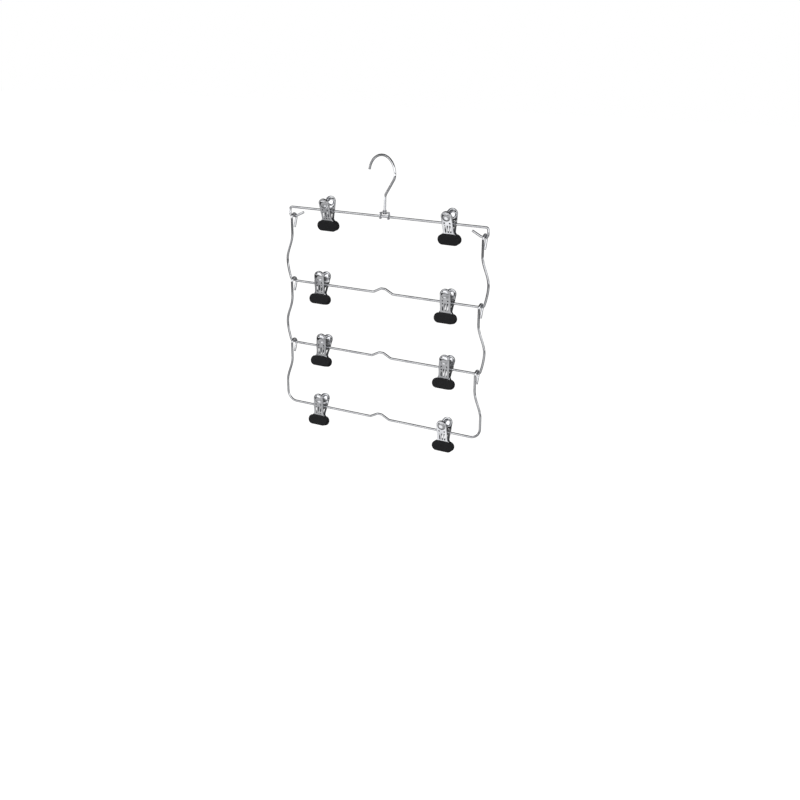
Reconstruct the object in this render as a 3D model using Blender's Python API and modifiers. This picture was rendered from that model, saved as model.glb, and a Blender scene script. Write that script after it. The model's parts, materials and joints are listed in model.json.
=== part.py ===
"""Tiered trouser hanger: a swivel hook, a top bar and three hanging wire tiers, with two spring clips on each bar.

Lengths are in metres. X runs along the bars, Y from front to back and Z up. The origin is the inside of the hook's crown,
where the hanger sits on its rail.
"""

from math import asin, atan2, cos, hypot, pi, radians, sin, sqrt, tan

import bmesh
import bpy
from mathutils import Matrix, Vector

MM = 0.001

# Wire and clearances
WIRE_RADIUS = 1.7 * MM
HOOK_WIRE_RADIUS = 1.75 * MM
GAP = 0.3 * MM
WIRE_SIDES_RESOLUTION = 2
ARC_STEP = radians(22)
FINE_ARC_STEP = radians(14)
COARSE_ARC_STEP = radians(30)
SLOT_ARC_STEP = radians(90)
SHARP_ANGLE = radians(40)
NEARLY_ZERO = 0.001 * MM
HOLE_SIDES = 12
SMALL_HOLE_SIDES = 8
DOME_SIDES = 10

# Hook, drawn in its own upright plane with the stem at zero
HOOK_RADIUS = 25.5 * MM
CROWN_BACK = 7.2 * MM
CROWN_SIDE = 2.1 * MM
HOOK_TIP_ANGLE = radians(172)
NECK_BEND_RADIUS = 13 * MM
NECK_SLOPE = radians(54.7)
STEM_BEND_RADIUS = 6 * MM
COLLAR_RADIUS = 2.9 * MM
COLLAR_HEIGHT = 2.6 * MM
HEAD_RADIUS = 3.1 * MM
HEAD_HEIGHT = 1.9 * MM
FORGED_EDGE = 0.35 * MM
FORGED_STEP = 0.15 * MM

# Swivel bracket
CROWN_TO_BAR = 84.75 * MM
BRACKET_WEB_ABOVE_BAR = 6.0 * MM
BRACKET_SHEET = 1.2 * MM
BRACKET_LEG_SPACING = 13 * MM
BRACKET_DEPTH = 8 * MM
BRACKET_WAIST = 5.6 * MM
BRACKET_EAR_RADIUS = 4 * MM
BRACKET_CORNER = 2.4 * MM
BRACKET_SHOULDER = 1.2 * MM

# Top bar
TOP_BAR_HALF = 160 * MM
TOP_BAR_CORNER = 3.5 * MM
SEAT_DROP = 13.3 * MM
SEAT_CORNER = 3.5 * MM
SEAT_HALF_LENGTH = 2.0 * MM
TAIL_RUN = 16.3 * MM
TAIL_RISE = 7.2 * MM
TAIL_BEND_RUN = 3.1 * MM
TAIL_BEND_RISE = 0.55 * MM

# Tier wires
SEAT_X = 154.5 * MM
TIER_PITCH = 96.3 * MM
TIER_SHIFT = 1 * MM
LOOP_RADIUS = 6 * MM
LOOP_TAIL_LEAN = radians(22)
LOOP_TAIL_LENGTH = 13.3 * MM
ARM_BOW = 10.3 * MM
ARM_STRAIGHT = 24 * MM
ARM_BOW_HEIGHT = 31 * MM
ARM_STEPS = 9
SHELF_HEIGHT = 0.8 * MM
SHELF_HALF_LENGTH = 1.8 * MM
SHELF_RAMP = 3 * MM
SHELF_CORNER = 3.5 * MM
SHELF_CORNER_END = radians(-20)
# Shares of the way out and of the way up from the shelf's corner to the bow
SHELF_RISE = ((0.34, 0.25), (0.81, 0.60))
LOWER_CORNER = 15 * MM
BUMP_BASE = 33 * MM
BUMP_TOP = 7 * MM
BUMP_HEIGHT = 6.5 * MM
BUMP_SHOULDER_RUN = 1.6 * MM
BUMP_SHOULDER_DROP = 0.8 * MM
BUMP_FOOT_RUN = 2.4 * MM
BUMP_FOOT_RISE = 1.0 * MM

# Clips
PLATE_SHEET = 0.9 * MM
PLATE_HALF_WIDTH = 8.2 * MM
PLATE_TOP = 18.8 * MM
PLATE_SPREAD = 26 * MM
FLARE_HALF_WIDTH = 10.2 * MM
FLARE_FOOT = 0.3 * MM
FLARE_TOP = 2.6 * MM
FLANGE_FOOT = 3.2 * MM
FLANGE_LOW_DEPTH = 1.5 * MM
FLANGE_LOW_TOP = 6 * MM
FLANGE_HIGH_DEPTH = 3 * MM
FLANGE_HIGH_FOOT = 10 * MM
LIP_BELOW_PAD_TOP = 2 * MM
PAD_WIDTH = 33 * MM
PAD_HEIGHT = 14.8 * MM
PAD_THICKNESS = 4.8 * MM
PAD_CENTRE_BELOW = 22.4 * MM
PAD_EDGE = 0.7 * MM
PAD_WALL = 1.0 * MM
SLOT_COUNT = 3
SLOT_PITCH = 3.9 * MM
SLOT_WIDTH = 1.8 * MM
SLOT_TOP = -1.2 * MM
SLOT_BOTTOM = -12.2 * MM
LEG_HOLE_X = 4.2 * MM
LEG_HOLE_Z = 2.2 * MM
LEG_HOLE_RADIUS = 1.1 * MM
DOME_RADIUS = 4.2 * MM
DOME_HEIGHT = 1.3 * MM
DOME_SHOULDER_RADIUS = 2.5 * MM
DOME_SHOULDER_HEIGHT = 1.0 * MM
RIM_RADIUS = 6.1 * MM
RIM_HEIGHT = 0.8 * MM
RIM_FOOT = 0.1 * MM
DOME_SINK = 0.7 * MM
EAR_RADIUS = 4 * MM
EAR_HALF_HEIGHT = 4.6 * MM
EAR_HOLE_CLEARANCE = 0.4 * MM
EAR_PROUD = 0.15 * MM
SPRING_WIRE_RADIUS = 0.5 * MM
SPRING_CLEARANCE = 0.55 * MM
SPRING_TURNS = 4
SPRING_POINTS_PER_TURN = 8
SPRING_LEG_PROUD = 1.1 * MM

# Where the clips stand along each bar, from its middle
CLIP_1_LEFT = -94.8 * MM
CLIP_1_RIGHT = 101.6 * MM
CLIP_2_LEFT = -105 * MM
CLIP_2_RIGHT = 103 * MM
CLIP_3_LEFT = -101 * MM
CLIP_3_RIGHT = 106 * MM
CLIP_4_LEFT = -105 * MM
CLIP_4_RIGHT = 108 * MM

# How far the tops of the clips lean back, as they hang in the photograph
LEAN_1_LEFT = radians(-6)
LEAN_1_RIGHT = radians(-7)
LEAN_2_LEFT = radians(11)
LEAN_2_RIGHT = radians(9)
LEAN_3_LEFT = radians(15)
LEAN_3_RIGHT = radians(15)
LEAN_4_LEFT = radians(13)
LEAN_4_RIGHT = radians(2)

CLIPS = {
    1: {"left": (CLIP_1_LEFT, LEAN_1_LEFT), "right": (CLIP_1_RIGHT, LEAN_1_RIGHT)},
    2: {"left": (CLIP_2_LEFT, LEAN_2_LEFT), "right": (CLIP_2_RIGHT, LEAN_2_RIGHT)},
    3: {"left": (CLIP_3_LEFT, LEAN_3_LEFT), "right": (CLIP_3_RIGHT, LEAN_3_RIGHT)},
    4: {"left": (CLIP_4_LEFT, LEAN_4_LEFT), "right": (CLIP_4_RIGHT, LEAN_4_RIGHT)},
}

# Worked out from the sizes above
CROWN_OFFSET = hypot(CROWN_BACK, CROWN_SIDE)
HOOK_YAW = atan2(-CROWN_SIDE, CROWN_BACK)
STEM = Vector((CROWN_BACK, -CROWN_SIDE, 0))
TOP_BAR_Z = HOOK_WIRE_RADIUS - CROWN_TO_BAR
FIRST_HINGE_Z = TOP_BAR_Z - SEAT_DROP
ARM_LENGTH = sqrt(TIER_PITCH**2 - LOOP_RADIUS**2)
TIER_LEAN = atan2(LOOP_RADIUS, ARM_LENGTH)
BAR_DROP = ARM_LENGTH + SHELF_HEIGHT
TIER_BAR_Y = BAR_DROP * sin(TIER_LEAN) - LOOP_RADIUS * cos(TIER_LEAN)
TIER_BAR_BELOW_HINGE = BAR_DROP * cos(TIER_LEAN) + LOOP_RADIUS * sin(TIER_LEAN)
PAD_TOP = PAD_HEIGHT / 2 - PAD_CENTRE_BELOW
PAD_BOTTOM = -PAD_HEIGHT / 2 - PAD_CENTRE_BELOW
LIP_Y = -(GAP + PAD_THICKNESS) / 2
FOLD_Z = PAD_TOP + GAP
PLATE_LEAN = atan2(PLATE_SPREAD / 2 + LIP_Y, PLATE_TOP - FOLD_Z)
PLATE_LENGTH = (PLATE_TOP - FOLD_Z) / cos(PLATE_LEAN)
LIP_FOOT = PAD_BOTTOM - FOLD_Z


def remove_all_objects():
    for old in list(bpy.data.objects):
        bpy.data.objects.remove(old, do_unlink=True)


def new_collection(name):
    collection = bpy.data.collections.new(name)
    bpy.context.scene.collection.children.link(collection)
    return collection


def new_material(name, colour, metallic, roughness):
    material = bpy.data.materials.new(name)
    material.use_nodes = True
    shader = material.node_tree.nodes["Principled BSDF"]
    shader.inputs["Base Color"].default_value = (*colour, 1)
    shader.inputs["Metallic"].default_value = metallic
    shader.inputs["Roughness"].default_value = roughness
    return material


remove_all_objects()
PARTS = new_collection("tiered_trouser_hanger")
CUTTERS = new_collection("cutters")
CHROME = new_material("chrome_plate", (0.82, 0.83, 0.85), 1.0, 0.12)
SPRING_STEEL = new_material("spring_steel", (0.55, 0.56, 0.58), 1.0, 0.25)
RUBBER = new_material("black_rubber", (0.015, 0.015, 0.016), 0.0, 0.75)


def arc(centre, radius, start, end, step=ARC_STEP):
    """Points on an arc in a plane, with both ends."""
    steps = max(2, round(abs(end - start) / step))
    angles = [start + (end - start) * i / steps for i in range(steps + 1)]
    return [Vector((centre[0] + radius * cos(a), centre[1] + radius * sin(a))) for a in angles]


def mirrored(points):
    """The same points on the other side of the middle, in the opposite order."""
    return [Vector((-p.x, *p[1:])) for p in reversed(points)]


def poly_curve(name, splines, dimensions, cyclic):
    curve = bpy.data.curves.new(name, "CURVE")
    curve.dimensions = dimensions
    for points in splines:
        spline = curve.splines.new("POLY")
        spline.points.add(len(points) - 1)
        for spline_point, point in zip(spline.points, points):
            spline_point.co = (*point.to_3d(), 1)
        spline.use_cyclic_u = cyclic
        spline.use_smooth = True
    return curve


def wire(name, points, radius, material, sides_resolution=WIRE_SIDES_RESOLUTION):
    """A round wire that runs through the points, as a curve object."""
    curve = poly_curve(name, [points], "3D", False)
    curve.bevel_depth = radius
    curve.bevel_resolution = sides_resolution
    curve.use_fill_caps = True
    curve.materials.append(material)
    wire_object = bpy.data.objects.new(name, curve)
    PARTS.objects.link(wire_object)
    return wire_object


def flat_outline(name, splines, thickness):
    """A flat piece in its own XY plane, with holes, of the given thickness about that plane."""
    curve = poly_curve(name, splines, "2D", True)
    curve.fill_mode = "BOTH"
    curve.extrude = thickness / 2
    piece = bpy.data.objects.new(name, curve)
    CUTTERS.objects.link(piece)
    return piece


def mesh_of(source):
    """The evaluated mesh of an object in world space, with its loose caps welded."""
    bpy.context.view_layer.update()
    evaluated = source.evaluated_get(bpy.context.evaluated_depsgraph_get())
    mesh = bpy.data.meshes.new_from_object(evaluated)
    mesh.transform(source.matrix_world)
    welded = bmesh.new()
    welded.from_mesh(mesh)
    bmesh.ops.remove_doubles(welded, verts=welded.verts, dist=1e-6)
    bmesh.ops.recalc_face_normals(welded, faces=welded.faces)
    welded.to_mesh(mesh)
    welded.free()
    mesh.shade_smooth()
    mesh.set_sharp_from_angle(angle=SHARP_ANGLE)
    return mesh


def as_tool(source):
    """Turns an object into a hidden mesh object that a Boolean modifier can use."""
    mesh = mesh_of(source)
    tool = bpy.data.objects.new(source.name + "_tool", mesh)
    CUTTERS.objects.link(tool)
    tool.hide_render = True
    tool.display_type = "WIRE"
    bpy.data.objects.remove(source, do_unlink=True)
    return tool


def combine(base, other, operation):
    modifier = base.modifiers.new(other.name, "BOOLEAN")
    modifier.operation = operation
    modifier.solver = "EXACT"
    modifier.object = other


def cylinder(name, radius, length, centre, axis):
    """A hidden cylinder for cutting, about the given centre and along the given axis."""
    bpy.ops.mesh.primitive_cylinder_add(vertices=HOLE_SIDES, radius=radius, depth=length)
    drawn = bpy.context.active_object
    drawn.name = name
    turn = Vector((0, 0, 1)).rotation_difference(Vector(axis)).to_matrix().to_4x4()
    drawn.matrix_world = Matrix.Translation(centre) @ turn
    return as_tool(drawn)


def place_copy(name, mesh, material, parent, location, lean=0, half_turn=False):
    """A named object that shares a mesh with its twins, leaning back about the bar."""
    if material.name not in mesh.materials:
        mesh.materials.append(material)
    piece = bpy.data.objects.new(name, mesh)
    piece.parent = parent
    piece.location = location
    piece.rotation_euler = (lean, 0, pi) if half_turn else (-lean, 0, 0)
    PARTS.objects.link(piece)
    return piece


def empty(name, location):
    guide = bpy.data.objects.new(name, None)
    guide.location = location
    PARTS.objects.link(guide)
    return guide


# Axes that put a flat outline's X, Y and thickness along the object's Y, Z and X
SIDE_VIEW = Matrix(((0, 0, 1, 0), (1, 0, 0, 0), (0, 1, 0, 0), (0, 0, 0, 1)))
# Axes that put them along the object's X, Z and Y
FRONT_VIEW = Matrix(((1, 0, 0, 0), (0, 0, -1, 0), (0, 1, 0, 0), (0, 0, 0, 1)))


def hook_profile():
    """The hook from its head to its tip: (distance along its plane, height over the bar) with a radius for each point."""
    web_bottom = BRACKET_WEB_ABOVE_BAR - BRACKET_SHEET / 2
    web_top = BRACKET_WEB_ABOVE_BAR + BRACKET_SHEET / 2
    head_top = web_bottom - GAP
    collar_bottom = web_top + GAP
    collar_top = collar_bottom + COLLAR_HEIGHT
    radii_and_heights = [
        (HEAD_RADIUS - FORGED_EDGE, head_top - HEAD_HEIGHT),
        (HEAD_RADIUS, head_top - HEAD_HEIGHT + FORGED_EDGE),
        (HEAD_RADIUS, head_top - FORGED_STEP),
        (HOOK_WIRE_RADIUS, head_top),
        (HOOK_WIRE_RADIUS, collar_bottom),
        (COLLAR_RADIUS - FORGED_EDGE, collar_bottom + FORGED_STEP),
        (COLLAR_RADIUS, collar_bottom + COLLAR_HEIGHT / 2),
        (COLLAR_RADIUS - FORGED_EDGE, collar_top - FORGED_EDGE),
        (HOOK_WIRE_RADIUS, collar_top),
    ]
    points = [Vector((0, height)) for radius, height in radii_and_heights]
    radii = [radius for radius, height in radii_and_heights]

    main_centre = Vector((-CROWN_OFFSET, CROWN_TO_BAR - HOOK_RADIUS))
    widest = main_centre.x + HOOK_RADIUS
    neck_centre = Vector((widest - NECK_BEND_RADIUS, main_centre.y))
    neck_start = NECK_SLOPE - pi / 2
    neck_end_of_line = neck_centre + NECK_BEND_RADIUS * Vector((cos(neck_start), sin(neck_start)))
    neck_foot_height = neck_end_of_line.y - neck_end_of_line.x * tan(NECK_SLOPE)
    stem_turn = pi / 2 - NECK_SLOPE
    tangent_length = STEM_BEND_RADIUS * tan(stem_turn / 2)
    stem_centre = Vector((STEM_BEND_RADIUS, neck_foot_height - tangent_length))
    path = arc(stem_centre, STEM_BEND_RADIUS, pi, pi - stem_turn)
    path += arc(neck_centre, NECK_BEND_RADIUS, neck_start, 0)
    path += arc(main_centre, HOOK_RADIUS, 0, pi / 2, FINE_ARC_STEP)[1:]
    path += arc(main_centre, HOOK_RADIUS, pi / 2, HOOK_TIP_ANGLE, FINE_ARC_STEP)[1:]
    points += path
    radii += [HOOK_WIRE_RADIUS] * len(path)
    return points, radii


def make_hook(stem):
    profile, radii = hook_profile()
    points = [Vector((p.x, 0, p.y)) for p in profile]
    hook = wire("hook", points, HOOK_WIRE_RADIUS, CHROME)
    for spline_point, radius in zip(hook.data.splines[0].points, radii):
        spline_point.radius = radius / HOOK_WIRE_RADIUS
    hook.parent = stem
    hook.rotation_euler = (0, 0, HOOK_YAW)
    return hook


def bracket_front_outline():
    """The bracket seen from the front: an inverted U of even thickness with round corners."""
    outer_half = BRACKET_LEG_SPACING / 2 + BRACKET_SHEET / 2
    top = BRACKET_WEB_ABOVE_BAR + BRACKET_SHEET / 2
    foot = -BRACKET_EAR_RADIUS
    corner_centre = (outer_half - BRACKET_CORNER, top - BRACKET_CORNER)
    inner_radius = BRACKET_CORNER - BRACKET_SHEET
    outer_corner = arc(corner_centre, BRACKET_CORNER, 0, pi / 2, COARSE_ARC_STEP)
    inner_corner = arc(corner_centre, inner_radius, pi / 2, 0, COARSE_ARC_STEP)
    right_outer = [Vector((outer_half, foot))] + outer_corner
    right_inner = inner_corner + [Vector((outer_half - BRACKET_SHEET, foot))]
    return right_outer + mirrored(right_outer) + mirrored(right_inner) + right_inner


def bracket_side_outline():
    """The bracket seen from the side: a wide web, a waist and round ears about the bar."""
    half = BRACKET_DEPTH / 2
    top = BRACKET_WEB_ABOVE_BAR + BRACKET_SHEET
    waist_height = (BRACKET_WEB_ABOVE_BAR + BRACKET_EAR_RADIUS) / 2
    waist = Vector((BRACKET_WAIST / 2, waist_height))
    shoulder = Vector((half, top - BRACKET_SHOULDER))
    ear_start = atan2(waist_height / 2, BRACKET_WAIST / 2)
    ear = arc((0, 0), BRACKET_EAR_RADIUS, -pi / 2, ear_start)
    right = ear + [waist, shoulder, Vector((half, top))]
    return right + mirrored(right)[:-1]


def bracket_mesh():
    """The bracket about the bar: its bent sheet cut to its side outline, with holes for the bar and the stem."""
    sheet = flat_outline("bracket_sheet", [bracket_front_outline()], BRACKET_DEPTH)
    sheet.matrix_world = FRONT_VIEW
    bracket = as_tool(sheet)
    width = BRACKET_LEG_SPACING + 4 * BRACKET_SHEET
    side = flat_outline("bracket_side", [bracket_side_outline()], width)
    side.matrix_world = SIDE_VIEW
    combine(bracket, as_tool(side), "INTERSECT")
    bar_hole = cylinder("bracket_bar_hole", WIRE_RADIUS + GAP, width, (0, 0, 0), (1, 0, 0))
    combine(bracket, bar_hole, "DIFFERENCE")
    web_centre = (0, 0, BRACKET_WEB_ABOVE_BAR)
    stem_hole = cylinder("bracket_stem_hole", HOOK_WIRE_RADIUS + GAP, 4 * BRACKET_SHEET, web_centre, (0, 0, 1))
    combine(bracket, stem_hole, "DIFFERENCE")
    mesh = mesh_of(bracket)
    mesh.name = "swivel_bracket"
    bpy.data.objects.remove(bracket, do_unlink=True)
    return mesh


def top_bar_half():
    """The right half of the top bar: bar, down-leg, seat and rising tail."""
    corner_centre = (TOP_BAR_HALF - TOP_BAR_CORNER, -TOP_BAR_CORNER)
    seat_outer = SEAT_X + SEAT_HALF_LENGTH
    seat_inner = SEAT_X - SEAT_HALF_LENGTH
    lower_centre = (seat_outer, SEAT_CORNER - SEAT_DROP)
    outward = arc(corner_centre, TOP_BAR_CORNER, pi / 2, 0)
    turn = arc(lower_centre, SEAT_CORNER, 0, -pi / 2)
    tail_end = Vector((seat_inner - TAIL_RUN, TAIL_RISE - SEAT_DROP))
    tail_bend = Vector((seat_inner - TAIL_BEND_RUN, TAIL_BEND_RISE - SEAT_DROP))
    return outward + turn + [Vector((seat_inner, -SEAT_DROP)), tail_bend, tail_end]


def make_top_bar(pivot):
    right = top_bar_half()
    points = [Vector((p.x, 0, p.y)) for p in mirrored(right) + right]
    bar = wire("top_bar", points, WIRE_RADIUS, CHROME)
    bar.parent = pivot
    return bar


def bump_half():
    """Right half of the raised middle of a tier's bar."""
    return [
        Vector((BUMP_TOP / 2, BUMP_HEIGHT)),
        Vector((BUMP_TOP / 2 + BUMP_SHOULDER_RUN, BUMP_HEIGHT - BUMP_SHOULDER_DROP)),
        Vector((BUMP_BASE / 2 - BUMP_FOOT_RUN, BUMP_FOOT_RISE)),
        Vector((BUMP_BASE / 2, 0)),
    ]


def wave(start, end, share):
    """A smooth half wave from start to end."""
    return start + (end - start) * (1 - cos(pi * share)) / 2


def arm():
    """The side arm from its bow, back in to where it runs straight up to the loop."""
    straight_foot = BAR_DROP - ARM_STRAIGHT
    points = []
    for i in range(ARM_STEPS + 1):
        share = i / ARM_STEPS
        height = ARM_BOW_HEIGHT + (straight_foot - ARM_BOW_HEIGHT) * share
        points.append(Vector((wave(SEAT_X + ARM_BOW, SEAT_X, share), height)))
    return points


def shelf_corner():
    """The bar's end with a short raised shelf, on which the next tier hangs."""
    shelf_inner = SEAT_X - SHELF_HALF_LENGTH
    shelf_outer = SEAT_X + SHELF_HALF_LENGTH
    corner_centre = (shelf_outer, SHELF_HEIGHT + SHELF_CORNER)
    corner = arc(corner_centre, SHELF_CORNER, -pi / 2, SHELF_CORNER_END)
    last = corner[-1]
    to_bow = Vector((SEAT_X + ARM_BOW, ARM_BOW_HEIGHT)) - last
    rise = [last + Vector((to_bow.x * out, to_bow.y * up)) for out, up in SHELF_RISE]
    return [Vector((shelf_inner - SHELF_RAMP, 0)), Vector((shelf_inner, SHELF_HEIGHT))] + corner + rise


def plain_corner():
    """The lowest tier's end: one large round corner."""
    centre = (SEAT_X + ARM_BOW - LOWER_CORNER, LOWER_CORNER)
    return arc(centre, LOWER_CORNER, -pi / 2, 0, FINE_ARC_STEP)


def loop_points():
    """The loop over the tier above, in the side view, from the arm in front over the top to the tail behind."""
    crown = WIRE_RADIUS + GAP + WIRE_RADIUS
    centre = Vector((0, crown - LOOP_RADIUS))
    points = arc(centre, LOOP_RADIUS, pi, -LOOP_TAIL_LEAN)
    direction = Vector((-sin(LOOP_TAIL_LEAN), -cos(LOOP_TAIL_LEAN)))
    return points + [points[-1] + direction * LOOP_TAIL_LENGTH]


def tier_points(corner):
    """Half of a tier's wire, from the middle of its bar to the end of its loop's tail, about the hinge at zero."""
    flat = bump_half() + corner + arm()
    half = [Vector((p.x, -LOOP_RADIUS, p.y - BAR_DROP)) for p in flat]
    half += [Vector((SEAT_X, p.x, p.y)) for p in loop_points()]
    return half


def make_tier(number, corner, pivot):
    half = tier_points(corner)
    tier = wire(f"tier_{number}_wire", mirrored(half) + half, WIRE_RADIUS, CHROME)
    tier.parent = pivot
    tier.rotation_euler = (TIER_LEAN, 0, 0)
    return tier


def plate_y(height):
    """The plate's middle surface in the side view: upright at the lip, leaning out above it."""
    return LIP_Y - max(0, height - FOLD_Z) * tan(PLATE_LEAN)


def flat_height(height):
    """Where a height over the bar lies on the flat stamping, up from its fold."""
    return (height - FOLD_Z) / cos(PLATE_LEAN)


def bent_place(x, back, up):
    """Where a point of the flat stamping goes when the stamping is bent at its fold."""
    if up > NEARLY_ZERO:
        return Vector((x, LIP_Y + back * cos(PLATE_LEAN) - up * sin(PLATE_LEAN),
                       FOLD_Z + back * sin(PLATE_LEAN) + up * cos(PLATE_LEAN)))
    if up < -NEARLY_ZERO:
        return Vector((x, LIP_Y + back, FOLD_Z + up))
    return Vector((x, LIP_Y + back, FOLD_Z + back * tan(PLATE_LEAN / 2)))


def lip_points(clearance):
    """Right half of the plate's lip, grown by a clearance: a wide end, round like the pad that holds it."""
    radius = PAD_HEIGHT / 2 - PAD_WALL + clearance
    centre = Vector((PAD_WIDTH / 2 - PAD_HEIGHT / 2, -PAD_CENTRE_BELOW))
    shoulder = PAD_TOP - LIP_BELOW_PAD_TOP + clearance
    shoulder_angle = asin((shoulder - centre.y) / radius)
    end = arc(centre, radius, -pi / 2, shoulder_angle, COARSE_ARC_STEP)
    return end + [Vector((FLARE_HALF_WIDTH + clearance, shoulder))]


def plate_outline():
    """The flat stamping: a wide lip, a flare over the pad, straight sides and a round top."""
    right = [p - Vector((0, FOLD_Z)) for p in lip_points(0)]
    right += [Vector((FLARE_HALF_WIDTH, FLARE_FOOT)), Vector((PLATE_HALF_WIDTH, FLARE_TOP))]
    right += arc((0, PLATE_LENGTH - PLATE_HALF_WIDTH), PLATE_HALF_WIDTH, 0, pi / 2)
    return right + mirrored(right)[1:]


def hollow_outline():
    """What is hollow behind the flat stamping: all of its lip, and all but a sheet's width at its sides and top."""
    inner = PLATE_HALF_WIDTH - PLATE_SHEET
    right = [
        Vector((PAD_WIDTH, LIP_FOOT - PLATE_SHEET)),
        Vector((PAD_WIDTH, FLANGE_FOOT)),
        Vector((inner, FLANGE_FOOT)),
    ]
    right += arc((0, PLATE_LENGTH - PLATE_HALF_WIDTH), inner, 0, pi / 2, COARSE_ARC_STEP)
    return right + mirrored(right)[1:]


def stamping_profile():
    """The flat stamping from the side, solid to the depth of its flange: shallow by the ears, deep at the fingers' end."""
    front = -PLATE_SHEET / 2
    head = PLATE_LENGTH + PLATE_SHEET
    return [
        Vector((front, LIP_FOOT)),
        Vector((FLANGE_LOW_DEPTH, LIP_FOOT)),
        Vector((FLANGE_LOW_DEPTH, flat_height(FLANGE_LOW_TOP))),
        Vector((FLANGE_HIGH_DEPTH, flat_height(FLANGE_HIGH_FOOT))),
        Vector((FLANGE_HIGH_DEPTH, head)),
        Vector((front, head)),
    ]


def slot_outline(centre_x):
    half = SLOT_WIDTH / 2
    top = flat_height(SLOT_TOP) - half
    foot = flat_height(SLOT_BOTTOM) + half
    return arc((centre_x, top), half, 0, pi, SLOT_ARC_STEP) + arc((centre_x, foot), half, pi, 2 * pi, SLOT_ARC_STEP)


def circle(centre, radius, count):
    return arc(centre, radius, 0, 2 * pi, 2 * pi / count)[:-1]


def bend_at_fold(mesh):
    """Bends a flat stamping: its lip stays upright and the rest leans out."""
    drawn = bmesh.new()
    drawn.from_mesh(mesh)
    everything = drawn.verts[:] + drawn.edges[:] + drawn.faces[:]
    bmesh.ops.bisect_plane(drawn, geom=everything, dist=NEARLY_ZERO, plane_co=(0, 0, 0), plane_no=(0, 0, 1))
    for vertex in drawn.verts:
        vertex.co = bent_place(*vertex.co)
    drawn.to_mesh(mesh)
    drawn.free()


def plate_sheet():
    """The stamping before its ears and dome, with its flange, slots and small holes, cut flat and then bent."""
    side = flat_outline("stamping_side", [stamping_profile()], PAD_WIDTH)
    side.matrix_world = SIDE_VIEW
    slots = [slot_outline((i - (SLOT_COUNT - 1) / 2) * SLOT_PITCH) for i in range(SLOT_COUNT)]
    hole_height = flat_height(LEG_HOLE_Z)
    holes = [circle((way * LEG_HOLE_X, hole_height), LEG_HOLE_RADIUS, SMALL_HOLE_SIDES) for way in (-1, 1)]
    blank = flat_outline("blank", [plate_outline()] + slots + holes, 4 * FLANGE_HIGH_DEPTH)
    blank.matrix_world = FRONT_VIEW
    hollow = flat_outline("hollow", [hollow_outline()], 2 * FLANGE_HIGH_DEPTH)
    hollow.matrix_world = Matrix.Translation((0, PLATE_SHEET / 2 + FLANGE_HIGH_DEPTH, 0)) @ FRONT_VIEW
    flat = as_tool(side)
    combine(flat, as_tool(blank), "INTERSECT")
    combine(flat, as_tool(hollow), "DIFFERENCE")
    mesh = mesh_of(flat)
    bend_at_fold(mesh)
    sheet = bpy.data.objects.new("sheet", mesh)
    CUTTERS.objects.link(sheet)
    bpy.data.objects.remove(flat, do_unlink=True)
    return sheet


def ear_outline():
    """An ear in the side view, from the plate round the bar."""
    end = arc((0, 0), EAR_RADIUS, -pi / 2, pi / 2, COARSE_ARC_STEP)
    upper = Vector((plate_y(EAR_HALF_HEIGHT), EAR_HALF_HEIGHT))
    lower = Vector((plate_y(-EAR_HALF_HEIGHT), -EAR_HALF_HEIGHT))
    return end + [upper, lower]


def ear_tool(name, centre_x):
    hole = circle((0, 0), WIRE_RADIUS + EAR_HOLE_CLEARANCE, SMALL_HOLE_SIDES)
    ear = flat_outline(name, [ear_outline(), hole], PLATE_SHEET)
    ear.matrix_world = Matrix.Translation((centre_x, 0, 0)) @ SIDE_VIEW
    return as_tool(ear)


def dome_tool():
    """The pressed dome and the raised rim round it, turned about the plate's normal."""
    profile = [
        (0, DOME_HEIGHT),
        (DOME_SHOULDER_RADIUS, DOME_SHOULDER_HEIGHT),
        (DOME_RADIUS, RIM_FOOT),
        ((DOME_RADIUS + RIM_RADIUS) / 2, RIM_HEIGHT),
        (RIM_RADIUS, RIM_FOOT),
        (RIM_RADIUS, -DOME_SINK),
        (0, -DOME_SINK),
    ]
    mesh = bpy.data.meshes.new("dome")
    drawn = bmesh.new()
    vertices = [drawn.verts.new((radius, 0, height)) for radius, height in profile]
    for first, second in zip(vertices, vertices[1:]):
        drawn.edges.new((first, second))
    drawn.to_mesh(mesh)
    drawn.free()
    dome = bpy.data.objects.new("dome", mesh)
    CUTTERS.objects.link(dome)
    turn = dome.modifiers.new("turn", "SCREW")
    turn.steps = DOME_SIDES
    turn.render_steps = DOME_SIDES
    turn.use_merge_vertices = True
    turn.merge_threshold = 0.00001
    centre = bent_place(0, -PLATE_SHEET / 2, PLATE_LENGTH - PLATE_HALF_WIDTH)
    outward = Vector((0, -cos(PLATE_LEAN), -sin(PLATE_LEAN)))
    rotation = Vector((0, 0, 1)).rotation_difference(outward).to_matrix().to_4x4()
    dome.matrix_world = Matrix.Translation(centre) @ rotation
    return as_tool(dome)


def plate_mesh():
    """A whole stamping: sheet, dome, one ear at its edge and one set in, so that two like plates interleave."""
    plate = plate_sheet()
    outer_ear_x = -(PLATE_HALF_WIDTH + EAR_PROUD - PLATE_SHEET / 2)
    inner_ear_x = -outer_ear_x - PLATE_SHEET - GAP
    combine(plate, ear_tool("outer_ear", outer_ear_x), "UNION")
    combine(plate, ear_tool("inner_ear", inner_ear_x), "UNION")
    combine(plate, dome_tool(), "UNION")
    mesh = mesh_of(plate)
    mesh.name = "clip_plate"
    bpy.data.objects.remove(plate, do_unlink=True)
    return mesh


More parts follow.
